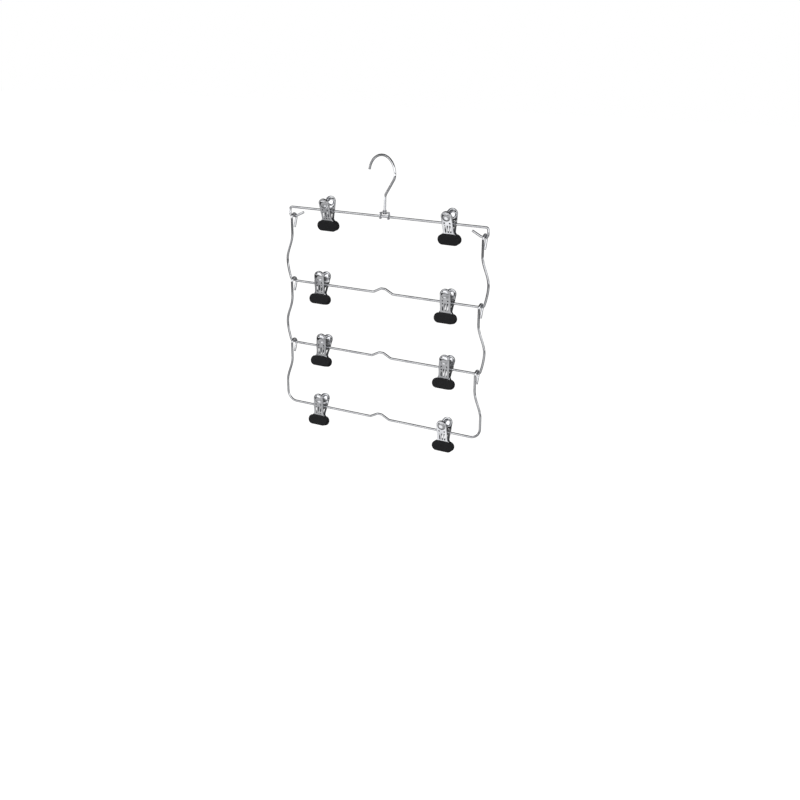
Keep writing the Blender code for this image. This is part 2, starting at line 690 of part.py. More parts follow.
def pad_mesh():
    """A rubber grip: a stadium with soft edges and a pocket for the plate's lip."""
    radius = PAD_HEIGHT / 2
    flat_half = PAD_WIDTH / 2 - radius
    right = arc((flat_half, -PAD_CENTRE_BELOW), radius, -pi / 2, pi / 2, COARSE_ARC_STEP)
    outline = flat_outline("pad_outline", [right + mirrored(right)], PAD_THICKNESS)
    outline.matrix_world = Matrix.Translation((0, LIP_Y, 0)) @ FRONT_VIEW
    pad = bpy.data.objects.new("pad", mesh_of(outline))
    CUTTERS.objects.link(pad)
    bpy.data.objects.remove(outline, do_unlink=True)
    soften = pad.modifiers.new("soften", "BEVEL")
    soften.width = PAD_EDGE
    soften.segments = 1
    soften.limit_method = "ANGLE"
    soften.angle_limit = SHARP_ANGLE
    half = lip_points(GAP)
    mouth = [Vector((FLARE_HALF_WIDTH + GAP, PAD_TOP + PLATE_SHEET))]
    pocket = flat_outline("pocket", [half + mouth + mirrored(half + mouth)], PLATE_SHEET + 2 * GAP)
    pocket.matrix_world = Matrix.Translation((0, LIP_Y, 0)) @ FRONT_VIEW
    combine(pad, as_tool(pocket), "DIFFERENCE")
    mesh = mesh_of(pad)
    mesh.name = "clip_pad"
    bpy.data.objects.remove(pad, do_unlink=True)
    return mesh


def spring_mesh():
    """A torsion spring wound round the bar, with a leg at each end that passes through a plate's small hole."""
    coil_radius = WIRE_RADIUS + SPRING_CLEARANCE + SPRING_WIRE_RADIUS
    count = SPRING_TURNS * SPRING_POINTS_PER_TURN
    coil = []
    for i in range(count + 1):
        angle = pi / 2 - 2 * pi * i / SPRING_POINTS_PER_TURN
        x = LEG_HOLE_X * (2 * i / count - 1)
        coil.append(Vector((x, coil_radius * cos(angle), coil_radius * sin(angle))))
    leg_tip_y = plate_y(LEG_HOLE_Z) - PLATE_SHEET / 2 - SPRING_LEG_PROUD
    first_leg = Vector((-LEG_HOLE_X, leg_tip_y, LEG_HOLE_Z))
    second_leg = Vector((LEG_HOLE_X, -leg_tip_y, LEG_HOLE_Z))
    report_least_gap(coil)
    spring = wire("spring", [first_leg] + coil + [second_leg], SPRING_WIRE_RADIUS, SPRING_STEEL, 1)
    mesh = mesh_of(spring)
    mesh.name = "clip_spring"
    bpy.data.objects.remove(spring, do_unlink=True)
    return mesh


def report_least_gap(coil):
    """Prints the least distance between two turns of the spring's wire."""
    least = min(
        (coil[i] - coil[j]).length - 2 * SPRING_WIRE_RADIUS
        for i in range(len(coil))
        for j in range(i + SPRING_POINTS_PER_TURN // 2, len(coil))
    )
    print(f"least gap between spring turns: {least / MM:.2f} mm")


def make_clip(name, pivot, place, lean, meshes):
    """Two plates, two pads and a spring about the bar."""
    plate, pad, spring = meshes
    centre = Vector((place, 0, 0))
    place_copy(f"{name}_front_plate", plate, CHROME, pivot, centre, lean)
    place_copy(f"{name}_rear_plate", plate, CHROME, pivot, centre, lean, half_turn=True)
    place_copy(f"{name}_front_pad", pad, RUBBER, pivot, centre, lean)
    place_copy(f"{name}_rear_pad", pad, RUBBER, pivot, centre, lean, half_turn=True)
    place_copy(f"{name}_spring", spring, SPRING_STEEL, pivot, centre, lean)


def main():
    stem = empty("stem_axis", STEM + Vector((0, 0, TOP_BAR_Z)))
    top_pivot = empty("top_bar_axis", STEM + Vector((0, 0, TOP_BAR_Z)))
    make_hook(stem)
    place_copy("swivel_bracket", bracket_mesh(), CHROME, top_pivot, Vector())
    make_top_bar(top_pivot)
    bar_pivots = {1: top_pivot}
    for number in (2, 3, 4):
        hinge_z = FIRST_HINGE_Z - (number - 2) * TIER_PITCH
        hinge = empty(f"tier_{number}_hinge", STEM + Vector((TIER_SHIFT, 0, hinge_z)))
        corner = plain_corner() if number == 4 else shelf_corner()
        make_tier(number, corner, hinge)
        bar_place = STEM + Vector((TIER_SHIFT, TIER_BAR_Y, hinge_z - TIER_BAR_BELOW_HINGE))
        bar_pivots[number] = empty(f"tier_{number}_bar", bar_place)
    meshes = plate_mesh(), pad_mesh(), spring_mesh()
    for number, sides in CLIPS.items():
        for side, (place, lean) in sides.items():
            make_clip(f"clip_{number}_{side}", bar_pivots[number], place, lean, meshes)
    for tool in list(CUTTERS.objects):
        tool.hide_render = True
        tool.display_type = "WIRE"
    print(f"bars at y {(STEM.y + TIER_BAR_Y) / MM:.4f} mm, first hinge z {FIRST_HINGE_Z / MM:.3f} mm")
    print(f"tier bars {TIER_BAR_BELOW_HINGE / MM:.4f} mm under their hinges")


main()
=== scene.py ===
"""The looks of a tiered trouser hanger: chrome wires, pressed clip plates, rubber grips and springs.

Laid out as an add-on. Lengths are in metres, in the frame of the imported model: X along the bars, Z up, and
the origin on the inside of the hook's crown.
"""

import json
from math import atan2, cos, hypot, pi, radians, sin, sqrt, tan

import bpy
from bpy.props import FloatProperty, FloatVectorProperty, PointerProperty
from mathutils import Matrix, Vector


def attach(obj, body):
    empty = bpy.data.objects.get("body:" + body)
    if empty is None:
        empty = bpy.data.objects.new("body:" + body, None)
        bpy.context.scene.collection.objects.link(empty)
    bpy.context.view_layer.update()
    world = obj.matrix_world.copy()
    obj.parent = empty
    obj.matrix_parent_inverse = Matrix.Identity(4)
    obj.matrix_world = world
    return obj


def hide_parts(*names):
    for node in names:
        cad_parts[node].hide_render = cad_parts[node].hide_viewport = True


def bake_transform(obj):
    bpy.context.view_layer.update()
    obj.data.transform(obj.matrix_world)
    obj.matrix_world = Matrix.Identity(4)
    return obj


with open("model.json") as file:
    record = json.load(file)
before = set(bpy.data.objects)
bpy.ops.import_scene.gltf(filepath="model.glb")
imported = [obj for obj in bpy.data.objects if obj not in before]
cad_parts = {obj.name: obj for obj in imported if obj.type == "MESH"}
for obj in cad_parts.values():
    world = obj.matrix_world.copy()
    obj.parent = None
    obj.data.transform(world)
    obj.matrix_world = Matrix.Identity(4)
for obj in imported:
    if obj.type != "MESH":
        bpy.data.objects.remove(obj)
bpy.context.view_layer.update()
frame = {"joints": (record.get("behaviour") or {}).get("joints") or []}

bl_info = {
    "name": "Tiered Trouser Hanger",
    "version": (1, 0, 0),
    "blender": (4, 5, 0),
    "location": "3D View > Sidebar > Hanger",
    "description": "Builds the hanger's wires, bracket, clips and stage round the packed model",
    "category": "Object",
}

MM = 0.001

# Where things are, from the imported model's joints
JOINT_PLACES = {joint["name"]: Vector(joint.get("pos_m") or (0, 0, 0)) for joint in frame["joints"]}
BAR_CENTRE = JOINT_PLACES["top_bar_rock"]
TIERS = (2, 3, 4)

# How far each clip's top leans back about its bar
CLIP_LEANS = {
    "clip_1_left": radians(-6),
    "clip_1_right": radians(-7),
    "clip_2_left": radians(11),
    "clip_2_right": radians(9),
    "clip_3_left": radians(15),
    "clip_3_right": radians(15),
    "clip_4_left": radians(13),
    "clip_4_right": radians(2),
}

# Hook, in its own upright plane with the stem at zero and heights over the bar
HOOK_RADIUS = 25.5 * MM
HOOK_TIP_ANGLE = radians(172)
NECK_BEND_RADIUS = 13 * MM
NECK_SLOPE = radians(54.7)
STEM_BEND_RADIUS = 6 * MM
COLLAR_RADIUS = 2.9 * MM
COLLAR_HEIGHT = 2.6 * MM
HEAD_RADIUS = 3.1 * MM
HEAD_HEIGHT = 1.9 * MM
FORGED_EDGE = 0.5 * MM
FORGED_STEP = 0.12 * MM
COLLAR_SHARES = (0.06, 0.2, 0.4, 0.6, 0.8, 0.94)
COLLAR_FULLNESS = 0.45
SWIVEL_GAP = 0.3 * MM

# Swivel bracket
WEB_ABOVE_BAR = 6.0 * MM
BRACKET_SHEET = 1.2 * MM
BRACKET_LEG_SPACING = 13 * MM
BRACKET_DEPTH = 8 * MM
BRACKET_WAIST = 5.6 * MM
BRACKET_EAR_RADIUS = 4 * MM
BRACKET_CORNER = 2.4 * MM
BRACKET_EDGE = 0.18 * MM
BRACKET_WAIST_BEND = 0.6 * MM

# Top bar
TOP_BAR_HALF = 160 * MM
TOP_BAR_CORNER = 3.5 * MM
SEAT_DROP = 13.3 * MM
SEAT_CORNER = 3.5 * MM
SEAT_HALF_LENGTH = 2 * MM
TAIL_CORNER_X = 150.4 * MM
TAIL_END_X = 136.2 * MM
TAIL_RISE = 7.2 * MM
TAIL_BEND = 2 * MM

# Tier wires
SEAT_X = 154.5 * MM
TIER_PITCH = 96.3 * MM
LOOP_RADIUS = 6 * MM
LOOP_TAIL_LEAN = radians(22)
LOOP_TAIL_LENGTH = 13.3 * MM
ARM_BOW = 10.3 * MM
ARM_STRAIGHT = 24 * MM
ARM_BOW_HEIGHT = 31 * MM
SHELF_HEIGHT = 0.8 * MM
SHELF_HALF_LENGTH = 1.8 * MM
SHELF_RAMP = 3 * MM
SHELF_CORNER = 3.5 * MM
SHELF_CORNER_END = radians(-20)
LOWER_CORNER = 15 * MM
BUMP_TOP_HALF = 3.6 * MM
BUMP_BASE_HALF = 16 * MM
BUMP_HEIGHT = 6.5 * MM
BEND_CUT = 1.6 * MM
SHELF_PULL = 0.55

# Clips, about the bar
PLATE_HALF_WIDTH = 8.2 * MM
PLATE_TOP = 18.8 * MM
PLATE_SPREAD = 26 * MM
FOLD_SOFTNESS = 1.2 * MM
CROWN_DEPTH = 0.3 * MM
CROWN_FADE = 8 * MM
EDGE_ROLL = 0.1 * MM
EDGE_ROLL_REACH = 1.8 * MM
EDGE_ROLL_FADE = 5 * MM
FLARE_HALF_WIDTH = 10.2 * MM
FLARE_FOOT = 0.3 * MM
FLARE_TOP = 2.6 * MM
FLARE_BEND = 0.9 * MM
FLANGE_FOOT = 3.2 * MM
FLANGE_LOW_DEPTH = 1.5 * MM
FLANGE_LOW_TOP = 6 * MM
FLANGE_HIGH_DEPTH = 3 * MM
FLANGE_HIGH_FOOT = 10 * MM
LIP_WALL = 1.5 * MM
LIP_BELOW_PAD_TOP = 2 * MM
PAD_WIDTH = 33 * MM
PAD_HEIGHT = 14.8 * MM
PAD_THICKNESS = 4.8 * MM
PAD_CENTRE_BELOW = 22.4 * MM
PAD_GAP = 0.3 * MM
GROOVE_PITCH = 1.6 * MM
PLAIN_EDGE = 1.6 * MM
GROOVE_END = 1.5 * MM
GROOVE_SIDE_CUT = 3 * MM
MOUTH_DEPTH = 3 * MM
SLOT_PITCH = 3.9 * MM
SLOT_WIDTH = 1.8 * MM
SLOT_TOP = -1.2 * MM
SLOT_BOTTOM = -12.2 * MM
LEG_HOLE_X = 4.2 * MM
LEG_HOLE_Z = 2.2 * MM
LEG_HOLE_RADIUS = 1.1 * MM
DOME_RADIUS = 6.1 * MM
DOME_STEEPNESS = 3.2
# Painted shade inside the clip plates: the height over the bar where it begins, the height it fades over,
# and how far a face must turn inwards
PAINTED_SHADE_TOP = 4 * MM
PAINTED_SHADE_FADE = 4 * MM
FACING_INWARDS = 0.3
EAR_RADIUS = 4 * MM
EAR_HALF_HEIGHT = 4.6 * MM
EAR_HOLE_RADIUS = 2.1 * MM
EAR_PROUD = 0.15 * MM
SPRING_CLEARANCE = 0.55 * MM
SPRING_TURNS = 4
SPRING_POINTS_PER_TURN = 24
SPRING_LEG_PROUD = 1.1 * MM

# Fineness
ARC_STEP = radians(6)
SMOOTH_ANGLE = radians(40)
ROUND_HOLE_STEP = radians(15)
EAR_HOLE_STEP = radians(12)
WELD_DISTANCE = 0.01 * MM
LEAST_STEP = 0.05 * MM
BEND_STEPS = 6
SHELF_STEPS = 14
ARM_STEPS = 30
FOLD_STEPS = 3
GROOVE_STEPS = 8
CUTTER_SIDES = 32
EDGE_SEGMENTS = 2
WIRE_END_EDGE = 0.6 * MM
HOOK_END_EDGE = 0.8 * MM
SPRING_END_EDGE = 0.2 * MM
WIRE_BEVEL_RESOLUTION = 6
SPRING_BEVEL_RESOLUTION = 3
PRESSING_STEP = 0.6 * MM
ROUND_LEFT = 0.02 * MM

# Finishes: the sizes of their patches, ripples and grain, and the least and most of their roughness
DULL_PATCH_SIZE = 14 * MM
DULL_PATCH_SPAN = (0.42, 0.68)
PLATING_ROUGHNESS = (0.08, 0.16)
# Roughness where shade is painted inside the clips
PAINTED_SHADE_ROUGHNESS = 0.4
WIRE_RIPPLE_SIZE = 9 * MM
WIRE_RIPPLE_HEIGHT = 0.008 * MM
SHEET_RIPPLE_SIZE = 6 * MM
SHEET_RIPPLE_HEIGHT = 0.006 * MM
DRAWN_LINE_SIZE = 0.5 * MM
DRAWN_ROUGHNESS = (0.2, 0.42)
MOTTLE_SIZE = 5 * MM
GRAIN_SIZE = 0.9 * MM
GRAIN_HEIGHT = 0.06 * MM
GRAIN_STRENGTH = 0.5
RUBBER_ROUGHNESS = (0.48, 0.7)
RUBBER_SHEEN = 0.2

# Worked out from the sizes above
ARM_LENGTH = sqrt(TIER_PITCH**2 - LOOP_RADIUS**2)
TIER_LEAN = atan2(LOOP_RADIUS, ARM_LENGTH)
BAR_DROP = ARM_LENGTH + SHELF_HEIGHT
PAD_TOP = PAD_HEIGHT / 2 - PAD_CENTRE_BELOW
LIP_Y = -(PAD_GAP + PAD_THICKNESS) / 2
FOLD_Z = PAD_TOP + PAD_GAP
PLATE_LEAN = atan2(PLATE_SPREAD / 2 + LIP_Y, PLATE_TOP - FOLD_Z)
PLATE_LENGTH = (PLATE_TOP - FOLD_Z) / cos(PLATE_LEAN)
DOME_CENTRE = PLATE_LENGTH - PLATE_HALF_WIDTH
HOOK_OFFSET = Vector((-BAR_CENTRE.x, -BAR_CENTRE.y))
HOOK_WAY = -HOOK_OFFSET.normalized()

# How a flat piece is turned once it is cut
FACING_FRONT = (pi / 2, 0, 0)
FACING_SIDE = (pi / 2, 0, pi / 2)


def linear(hex_colour):
    """Linear red, green and blue of an sRGB hex colour."""
    shares = [int(hex_colour[i:i + 2], 16) / 255 for i in (1, 3, 5)]
    return [c / 12.92 if c <= 0.04045 else ((c + 0.055) / 1.055) ** 2.4 for c in shares]


class HangerSizes(bpy.types.PropertyGroup):
    """Sizes that a user would change."""

    wire_diameter: FloatProperty(
        name="Bar wire", description="Diameter of the bars' wire",
        default=3.4 * MM, unit="LENGTH", precision=4,
    )
    hook_diameter: FloatProperty(
        name="Hook wire", description="Diameter of the hook's wire",
        default=3.5 * MM, unit="LENGTH", precision=4,
    )
    sheet_thickness: FloatProperty(
        name="Clip sheet", description="Thickness of a clip plate",
        default=0.9 * MM, unit="LENGTH", precision=4,
    )
    sheet_edge: FloatProperty(
        name="Sheet edge", description="Rounding of a clip plate's edges",
        default=0.22 * MM, unit="LENGTH", precision=4,
    )
    dome_height: FloatProperty(
        name="Dome", description="Height of the dome pressed into a plate",
        default=1.35 * MM, unit="LENGTH", precision=4,
    )
    pad_edge: FloatProperty(
        name="Grip edge", description="Rounding of a rubber grip's edges",
        default=0.9 * MM, unit="LENGTH", precision=4,
    )
    groove_depth: FloatProperty(
        name="Grip grooves", description="Depth of the grooves in a grip",
        default=0.3 * MM, unit="LENGTH", precision=4,
    )
    spring_diameter: FloatProperty(
        name="Spring wire", description="Diameter of the springs' wire",
        default=1.0 * MM, unit="LENGTH", precision=4,
    )


class HangerFinishes(bpy.types.PropertyGroup):
    """Colours that a user would change."""

    plating: FloatVectorProperty(
        name="Plating", description="Colour of the chrome plating",
        subtype="COLOR", default=linear("#DADBDE"),
    )
    dull_plating: FloatVectorProperty(
        name="Dull plating", description="Plating where it is handled",
        subtype="COLOR", default=linear("#C3C4C8"),
    )
    # Painted shade: a dark colour put on the inside of the clips below the bar
    painted_inside_shade: FloatVectorProperty(
        name="Painted inside shade", description="Inside of the clips",
        subtype="COLOR", default=linear("#55575B"),
    )
    spring: FloatVectorProperty(
        name="Spring", description="Colour of the springs' steel",
        subtype="COLOR", default=linear("#8F9094"),
    )
    rubber: FloatVectorProperty(
        name="Rubber", description="Colour of the grips",
        subtype="COLOR", default=linear("#111113"),
    )
    worn_rubber: FloatVectorProperty(
        name="Worn rubber", description="Grip where it is rubbed grey",
        subtype="COLOR", default=linear("#1C1C1F"),
    )


def add_node(tree, kind, inputs=None, **settings):
    """Adds a node with its settings. An input is a value, or another node's output to link."""
    made = tree.nodes.new(kind)
    for name, value in settings.items():
        setattr(made, name, value)
    for name, value in (inputs or {}).items():
        if isinstance(value, bpy.types.NodeSocket):
            tree.links.new(value, made.inputs[name])
        else:
            made.inputs[name].default_value = value
    return made


def new_material(name):
    """An empty material with its output and a Principled shader."""
    material = bpy.data.materials.new(name)
    material.use_nodes = True
    return material, material.node_tree, material.node_tree.nodes["Principled BSDF"]


def from_to(value, start_end, low_high):
    """Inputs for a change from low to high as a value goes from start to end."""
    return {
        "Value": value, "From Min": start_end[0], "From Max": start_end[1],
        "To Min": low_high[0], "To Max": low_high[1],
    }


def plated_steel(name, ripple_size, ripple_height):
    """Nickel-chrome plate over polished steel: a near mirror, slightly uneven, with patches dulled by hands.

    Inside the clips below the bar, shade is painted in: the colour is dark and the finish dull.
    """
    finishes = bpy.context.scene.hanger_finishes
    material, tree, shader = new_material(name)
    place = add_node(tree, "ShaderNodeTexCoord").outputs["Object"]
    patches = add_node(
        tree, "ShaderNodeTexNoise", {"Vector": place, "Scale": 1 / DULL_PATCH_SIZE, "Detail": 3.0}
    )
    dulled = add_node(
        tree, "ShaderNodeMapRange", from_to(patches.outputs["Fac"], DULL_PATCH_SPAN, (0.0, 1.0))
    ).outputs["Result"]
    # Painted shade: this mask darkens and dulls the inside of the clips below the bar
    shade_mask = add_node(tree, "ShaderNodeAttribute", attribute_name="painted_inside_shade").outputs["Fac"]
    colour = add_node(
        tree, "ShaderNodeMix",
        {"Factor": dulled, "A": (*finishes.plating, 1), "B": (*finishes.dull_plating, 1)},
        data_type="RGBA",
    ).outputs["Result"]
    colour = add_node(
        tree, "ShaderNodeMix",
        {"Factor": shade_mask, "A": colour, "B": (*finishes.painted_inside_shade, 1)},
        data_type="RGBA",
    ).outputs["Result"]
    tree.links.new(colour, shader.inputs["Base Color"])
    roughness = add_node(
        tree, "ShaderNodeMapRange", from_to(dulled, (0.0, 1.0), PLATING_ROUGHNESS)
    ).outputs["Result"]
    roughness = add_node(
        tree, "ShaderNodeMix", {"Factor": shade_mask, "A": roughness, "B": PAINTED_SHADE_ROUGHNESS}
    ).outputs["Result"]
    tree.links.new(roughness, shader.inputs["Roughness"])
    ripples = add_node(
        tree, "ShaderNodeTexNoise", {"Vector": place, "Scale": 1 / ripple_size, "Detail": 2.0}
    )
    bump = add_node(
        tree, "ShaderNodeBump",
        {"Height": ripples.outputs["Fac"], "Strength": 1.0, "Distance": ripple_height},
    )
    tree.links.new(bump.outputs["Normal"], shader.inputs["Normal"])
    shader.inputs["Metallic"].default_value = 1.0
    return material


def spring_steel(name):
    """Drawn spring wire, oiled and not plated: greyer than the chrome, satin, finely lined by the die."""
    finishes = bpy.context.scene.hanger_finishes
    material, tree, shader = new_material(name)
    place = add_node(tree, "ShaderNodeTexCoord").outputs["Object"]
    # The die's real lines are under 0.1 mm wide, too fine to show, so they are drawn larger
    lines = add_node(
        tree, "ShaderNodeTexNoise", {"Vector": place, "Scale": 1 / DRAWN_LINE_SIZE, "Detail": 2.0}
    )
    roughness = add_node(
        tree, "ShaderNodeMapRange", from_to(lines.outputs["Fac"], (0.0, 1.0), DRAWN_ROUGHNESS)
    ).outputs["Result"]
    tree.links.new(roughness, shader.inputs["Roughness"])
    shader.inputs["Base Color"].default_value = (*finishes.spring, 1)
    shader.inputs["Metallic"].default_value = 1.0
    return material


def moulded_rubber(name):
    """Moulded black rubber: dull, a little mottled, with a fine skin that catches light at its edges."""
    finishes = bpy.context.scene.hanger_finishes
    material, tree, shader = new_material(name)
    place = add_node(tree, "ShaderNodeTexCoord").outputs["Object"]
    mottle = add_node(
        tree, "ShaderNodeTexNoise", {"Vector": place, "Scale": 1 / MOTTLE_SIZE, "Detail": 4.0}
    )
    colour = add_node(
        tree, "ShaderNodeMix",
        {"Factor": mottle.outputs["Fac"], "A": (*finishes.rubber, 1), "B": (*finishes.worn_rubber, 1)},
        data_type="RGBA",
    ).outputs["Result"]
    tree.links.new(colour, shader.inputs["Base Color"])
    # The skin's real grain is about 0.1 mm, too fine to show, so it is drawn larger
    grain = add_node(
        tree, "ShaderNodeTexNoise", {"Vector": place, "Scale": 1 / GRAIN_SIZE, "Detail": 3.0}
    ).outputs["Fac"]
    roughness = add_node(
        tree, "ShaderNodeMapRange", from_to(grain, (0.0, 1.0), RUBBER_ROUGHNESS)
    ).outputs["Result"]
    tree.links.new(roughness, shader.inputs["Roughness"])
    bump = add_node(
        tree, "ShaderNodeBump", {"Height": grain, "Strength": GRAIN_STRENGTH, "Distance": GRAIN_HEIGHT}
    )
    tree.links.new(bump.outputs["Normal"], shader.inputs["Normal"])
    shader.inputs["Specular IOR Level"].default_value = RUBBER_SHEEN
    return material


def finish(name):
    """A finish by name, made when it is first asked for."""
    if name in bpy.data.materials:
        return bpy.data.materials[name]
    if name == "chrome_plated_wire":
        return plated_steel(name, WIRE_RIPPLE_SIZE, WIRE_RIPPLE_HEIGHT)
    if name == "chrome_plated_sheet":
        return plated_steel(name, SHEET_RIPPLE_SIZE, SHEET_RIPPLE_HEIGHT)
    if name == "drawn_spring_steel":
        return spring_steel(name)
    return moulded_rubber(name)


def turned_arc(centre, radius, start, end, step=ARC_STEP):
    """Points round an arc in a plane, with both ends."""
    count = max(2, round(abs(end - start) / step))
    angles = [start + (end - start) * i / count for i in range(count + 1)]
    return [Vector((centre[0] + radius * cos(a), centre[1] + radius * sin(a))) for a in angles]


def rounded_corners(corners, cut=BEND_CUT):
    """A path through the corners, each cut back and curved, as wire bends round a pin."""
    path = [corners[0]]
    for before, corner, after in zip(corners, corners[1:], corners[2:]):
        start = corner + (before - corner).normalized() * cut
        end = corner + (after - corner).normalized() * cut
        for i in range(BEND_STEPS + 1):
            share = i / BEND_STEPS
            path.append(start.lerp(corner, share).lerp(corner.lerp(end, share), share))
    return path + [corners[-1]]


def smooth_bend(start, end, start_way, end_way):
    """A curve that leaves start and reaches end in the given directions."""
    reach = (end - start).length
    path = []
    for i in range(1, SHELF_STEPS + 1):
        t = i / SHELF_STEPS
        place = start * (2 * t**3 - 3 * t**2 + 1) + end * (3 * t**2 - 2 * t**3)
        pull = start_way * SHELF_PULL * (t**3 - 2 * t**2 + t) + end_way * (t**3 - t**2)
        path.append(place + pull * reach)
    return path


def mirrored(path):
    """The same points on the other side of the middle, in the opposite order."""
    return [Vector((-p.x, *p[1:])) for p in reversed(path)]


def both_halves(half):
    """The whole path from its right half, which starts at the middle."""
    return mirrored(half)[:-1] + half


def deselect_all():
    for item in bpy.context.selected_objects:
        item.select_set(False)


def select_only(piece):
    deselect_all()
    piece.select_set(True)
    bpy.context.view_layer.objects.active = piece


def apply_place(piece):
    """Puts a piece's place, turn and scale into its mesh."""
    select_only(piece)
    bpy.ops.object.transform_apply(location=True, rotation=True, scale=True)


def tidy_mesh(piece):
    """Merges doubles, turns the faces outwards and shades by angle."""
    select_only(piece)
    bpy.ops.object.mode_set(mode="EDIT")
    bpy.ops.mesh.select_all(action="SELECT")
    bpy.ops.mesh.remove_doubles(threshold=WELD_DISTANCE)
    bpy.ops.mesh.normals_make_consistent(inside=False)
    bpy.ops.object.mode_set(mode="OBJECT")
    bpy.ops.object.shade_smooth_by_angle(angle=SMOOTH_ANGLE)


def soft_end(end, inner, radius, edge):
    """Points and radii that round off a cut end of wire, from its face inwards."""
    way = (inner - end).normalized()
    turns = [radians(angle) for angle in (90, 60, 30, 0)]
    return [(end + way * edge * (1 - sin(a)), radius - edge * (1 - cos(a))) for a in turns]


def lay_wire(name, route, radius, radii=None, resolution=WIRE_BEVEL_RESOLUTION, edge=WIRE_END_EDGE):
    """Draws a wire by extruding one point along its route, then gives it a round section with soft ends."""
    radii = radii or [radius] * len(route)
    start = soft_end(route[0], route[1], radii[0], edge)
    end = soft_end(route[-1], route[-2], radii[-1], edge)
    stations = start + list(zip(route[1:-1], radii[1:-1])) + list(reversed(end))
    bpy.ops.mesh.primitive_plane_add(size=radius, location=stations[0][0])
    line = bpy.context.active_object
    bpy.ops.object.mode_set(mode="EDIT")
    bpy.ops.mesh.merge(type="CENTER")
    for (here, _), (there, _) in zip(stations, stations[1:]):
        bpy.ops.mesh.extrude_region_move(TRANSFORM_OT_translate={"value": there - here})
    bpy.ops.object.mode_set(mode="OBJECT")
    apply_place(line)
    bpy.ops.object.convert(target="CURVE")
    line = bpy.context.active_object
    drawn = line.data.splines[0].points
    from_first, from_last = [(drawn[i].co.to_3d() - stations[0][0]).length for i in (0, -1)]
    if from_first > from_last:
        stations.reverse()
    for point, (_, point_radius) in zip(drawn, stations):
        point.radius = point_radius / radius
    line.data.bevel_depth = radius
    line.data.bevel_resolution = resolution
    line.data.use_fill_caps = True
    bpy.ops.object.convert(target="MESH")
    line = bpy.context.active_object
    line.name = name
    tidy_mesh(line)
    return line


def cut_sheet(name, outlines, thickness, edge, rotation, location=(0, 0, 0)):
    """A flat piece cut to its outlines, with rounded edges, turned and placed."""
    bpy.ops.curve.primitive_bezier_circle_add(radius=thickness)
    sheet = bpy.context.active_object
    sheet.name = name
    sheet.data.splines.clear()
    sheet.data.dimensions = "2D"
    for outline in outlines:
        spline = sheet.data.splines.new("POLY")
        spline.points.add(len(outline) - 1)
        for point, place in zip(spline.points, outline):
            point.co = (place.x, place.y, 0, 1)
        spline.use_cyclic_u = True
    sheet.data.fill_mode = "BOTH"
    sheet.data.extrude = thickness / 2 - edge
    sheet.data.bevel_depth = edge
    sheet.data.bevel_resolution = EDGE_SEGMENTS
    sheet.data.offset = -edge
    bpy.ops.object.convert(target="MESH")
    sheet = bpy.context.active_object
    sheet.rotation_euler = rotation
    sheet.location = location
    apply_place(sheet)
    tidy_mesh(sheet)
    return sheet


def cut_away(piece, cutter, operation="DIFFERENCE"):
    """Cuts a piece with another, which is used up."""
    select_only(piece)
    boolean = piece.modifiers.new("cut", "BOOLEAN")
    boolean.operation = operation
    boolean.solver = "EXACT"
    boolean.object = cutter
    bpy.ops.object.modifier_apply(modifier=boolean.name)
    bpy.data.objects.remove(cutter, do_unlink=True)


def join_to(piece, others):
    """Joins other pieces to a piece as closed shapes that overlap it."""
    select_only(piece)
    for other in others:
        other.select_set(True)
    bpy.ops.object.join()


def slice_mesh(piece, cuts, way):
    """Cuts a mesh's faces along parallel planes, so that it can be pressed into shape."""
    select_only(piece)
    bpy.ops.object.mode_set(mode="EDIT")
    for cut in cuts:
        bpy.ops.mesh.select_all(action="SELECT")
        bpy.ops.mesh.bisect(plane_co=way * cut, plane_no=way)
    bpy.ops.object.mode_set(mode="OBJECT")


def hand_over(piece, body, node, material):
    """Gives a finished piece its finish and its body, and hides the imported node that it stands for."""
    piece.data.materials.clear()
    piece.data.materials.append(finish(material))
    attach(piece, body)
    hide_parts(node)


def copy_to(master, name, clip, half_turn=False):
    """A copy of a clip piece with its own mesh, at the clip's place and lean, turned round for the rear."""
    select_only(master)
    bpy.ops.object.duplicate(linked=False)
    piece = bpy.context.active_object
    piece.name = name
    lean = CLIP_LEANS[clip]
    piece.rotation_euler = (lean, 0, pi) if half_turn else (-lean, 0, 0)
    piece.location = JOINT_PLACES[f"{clip}_swing"]
    apply_place(piece)
    return piece


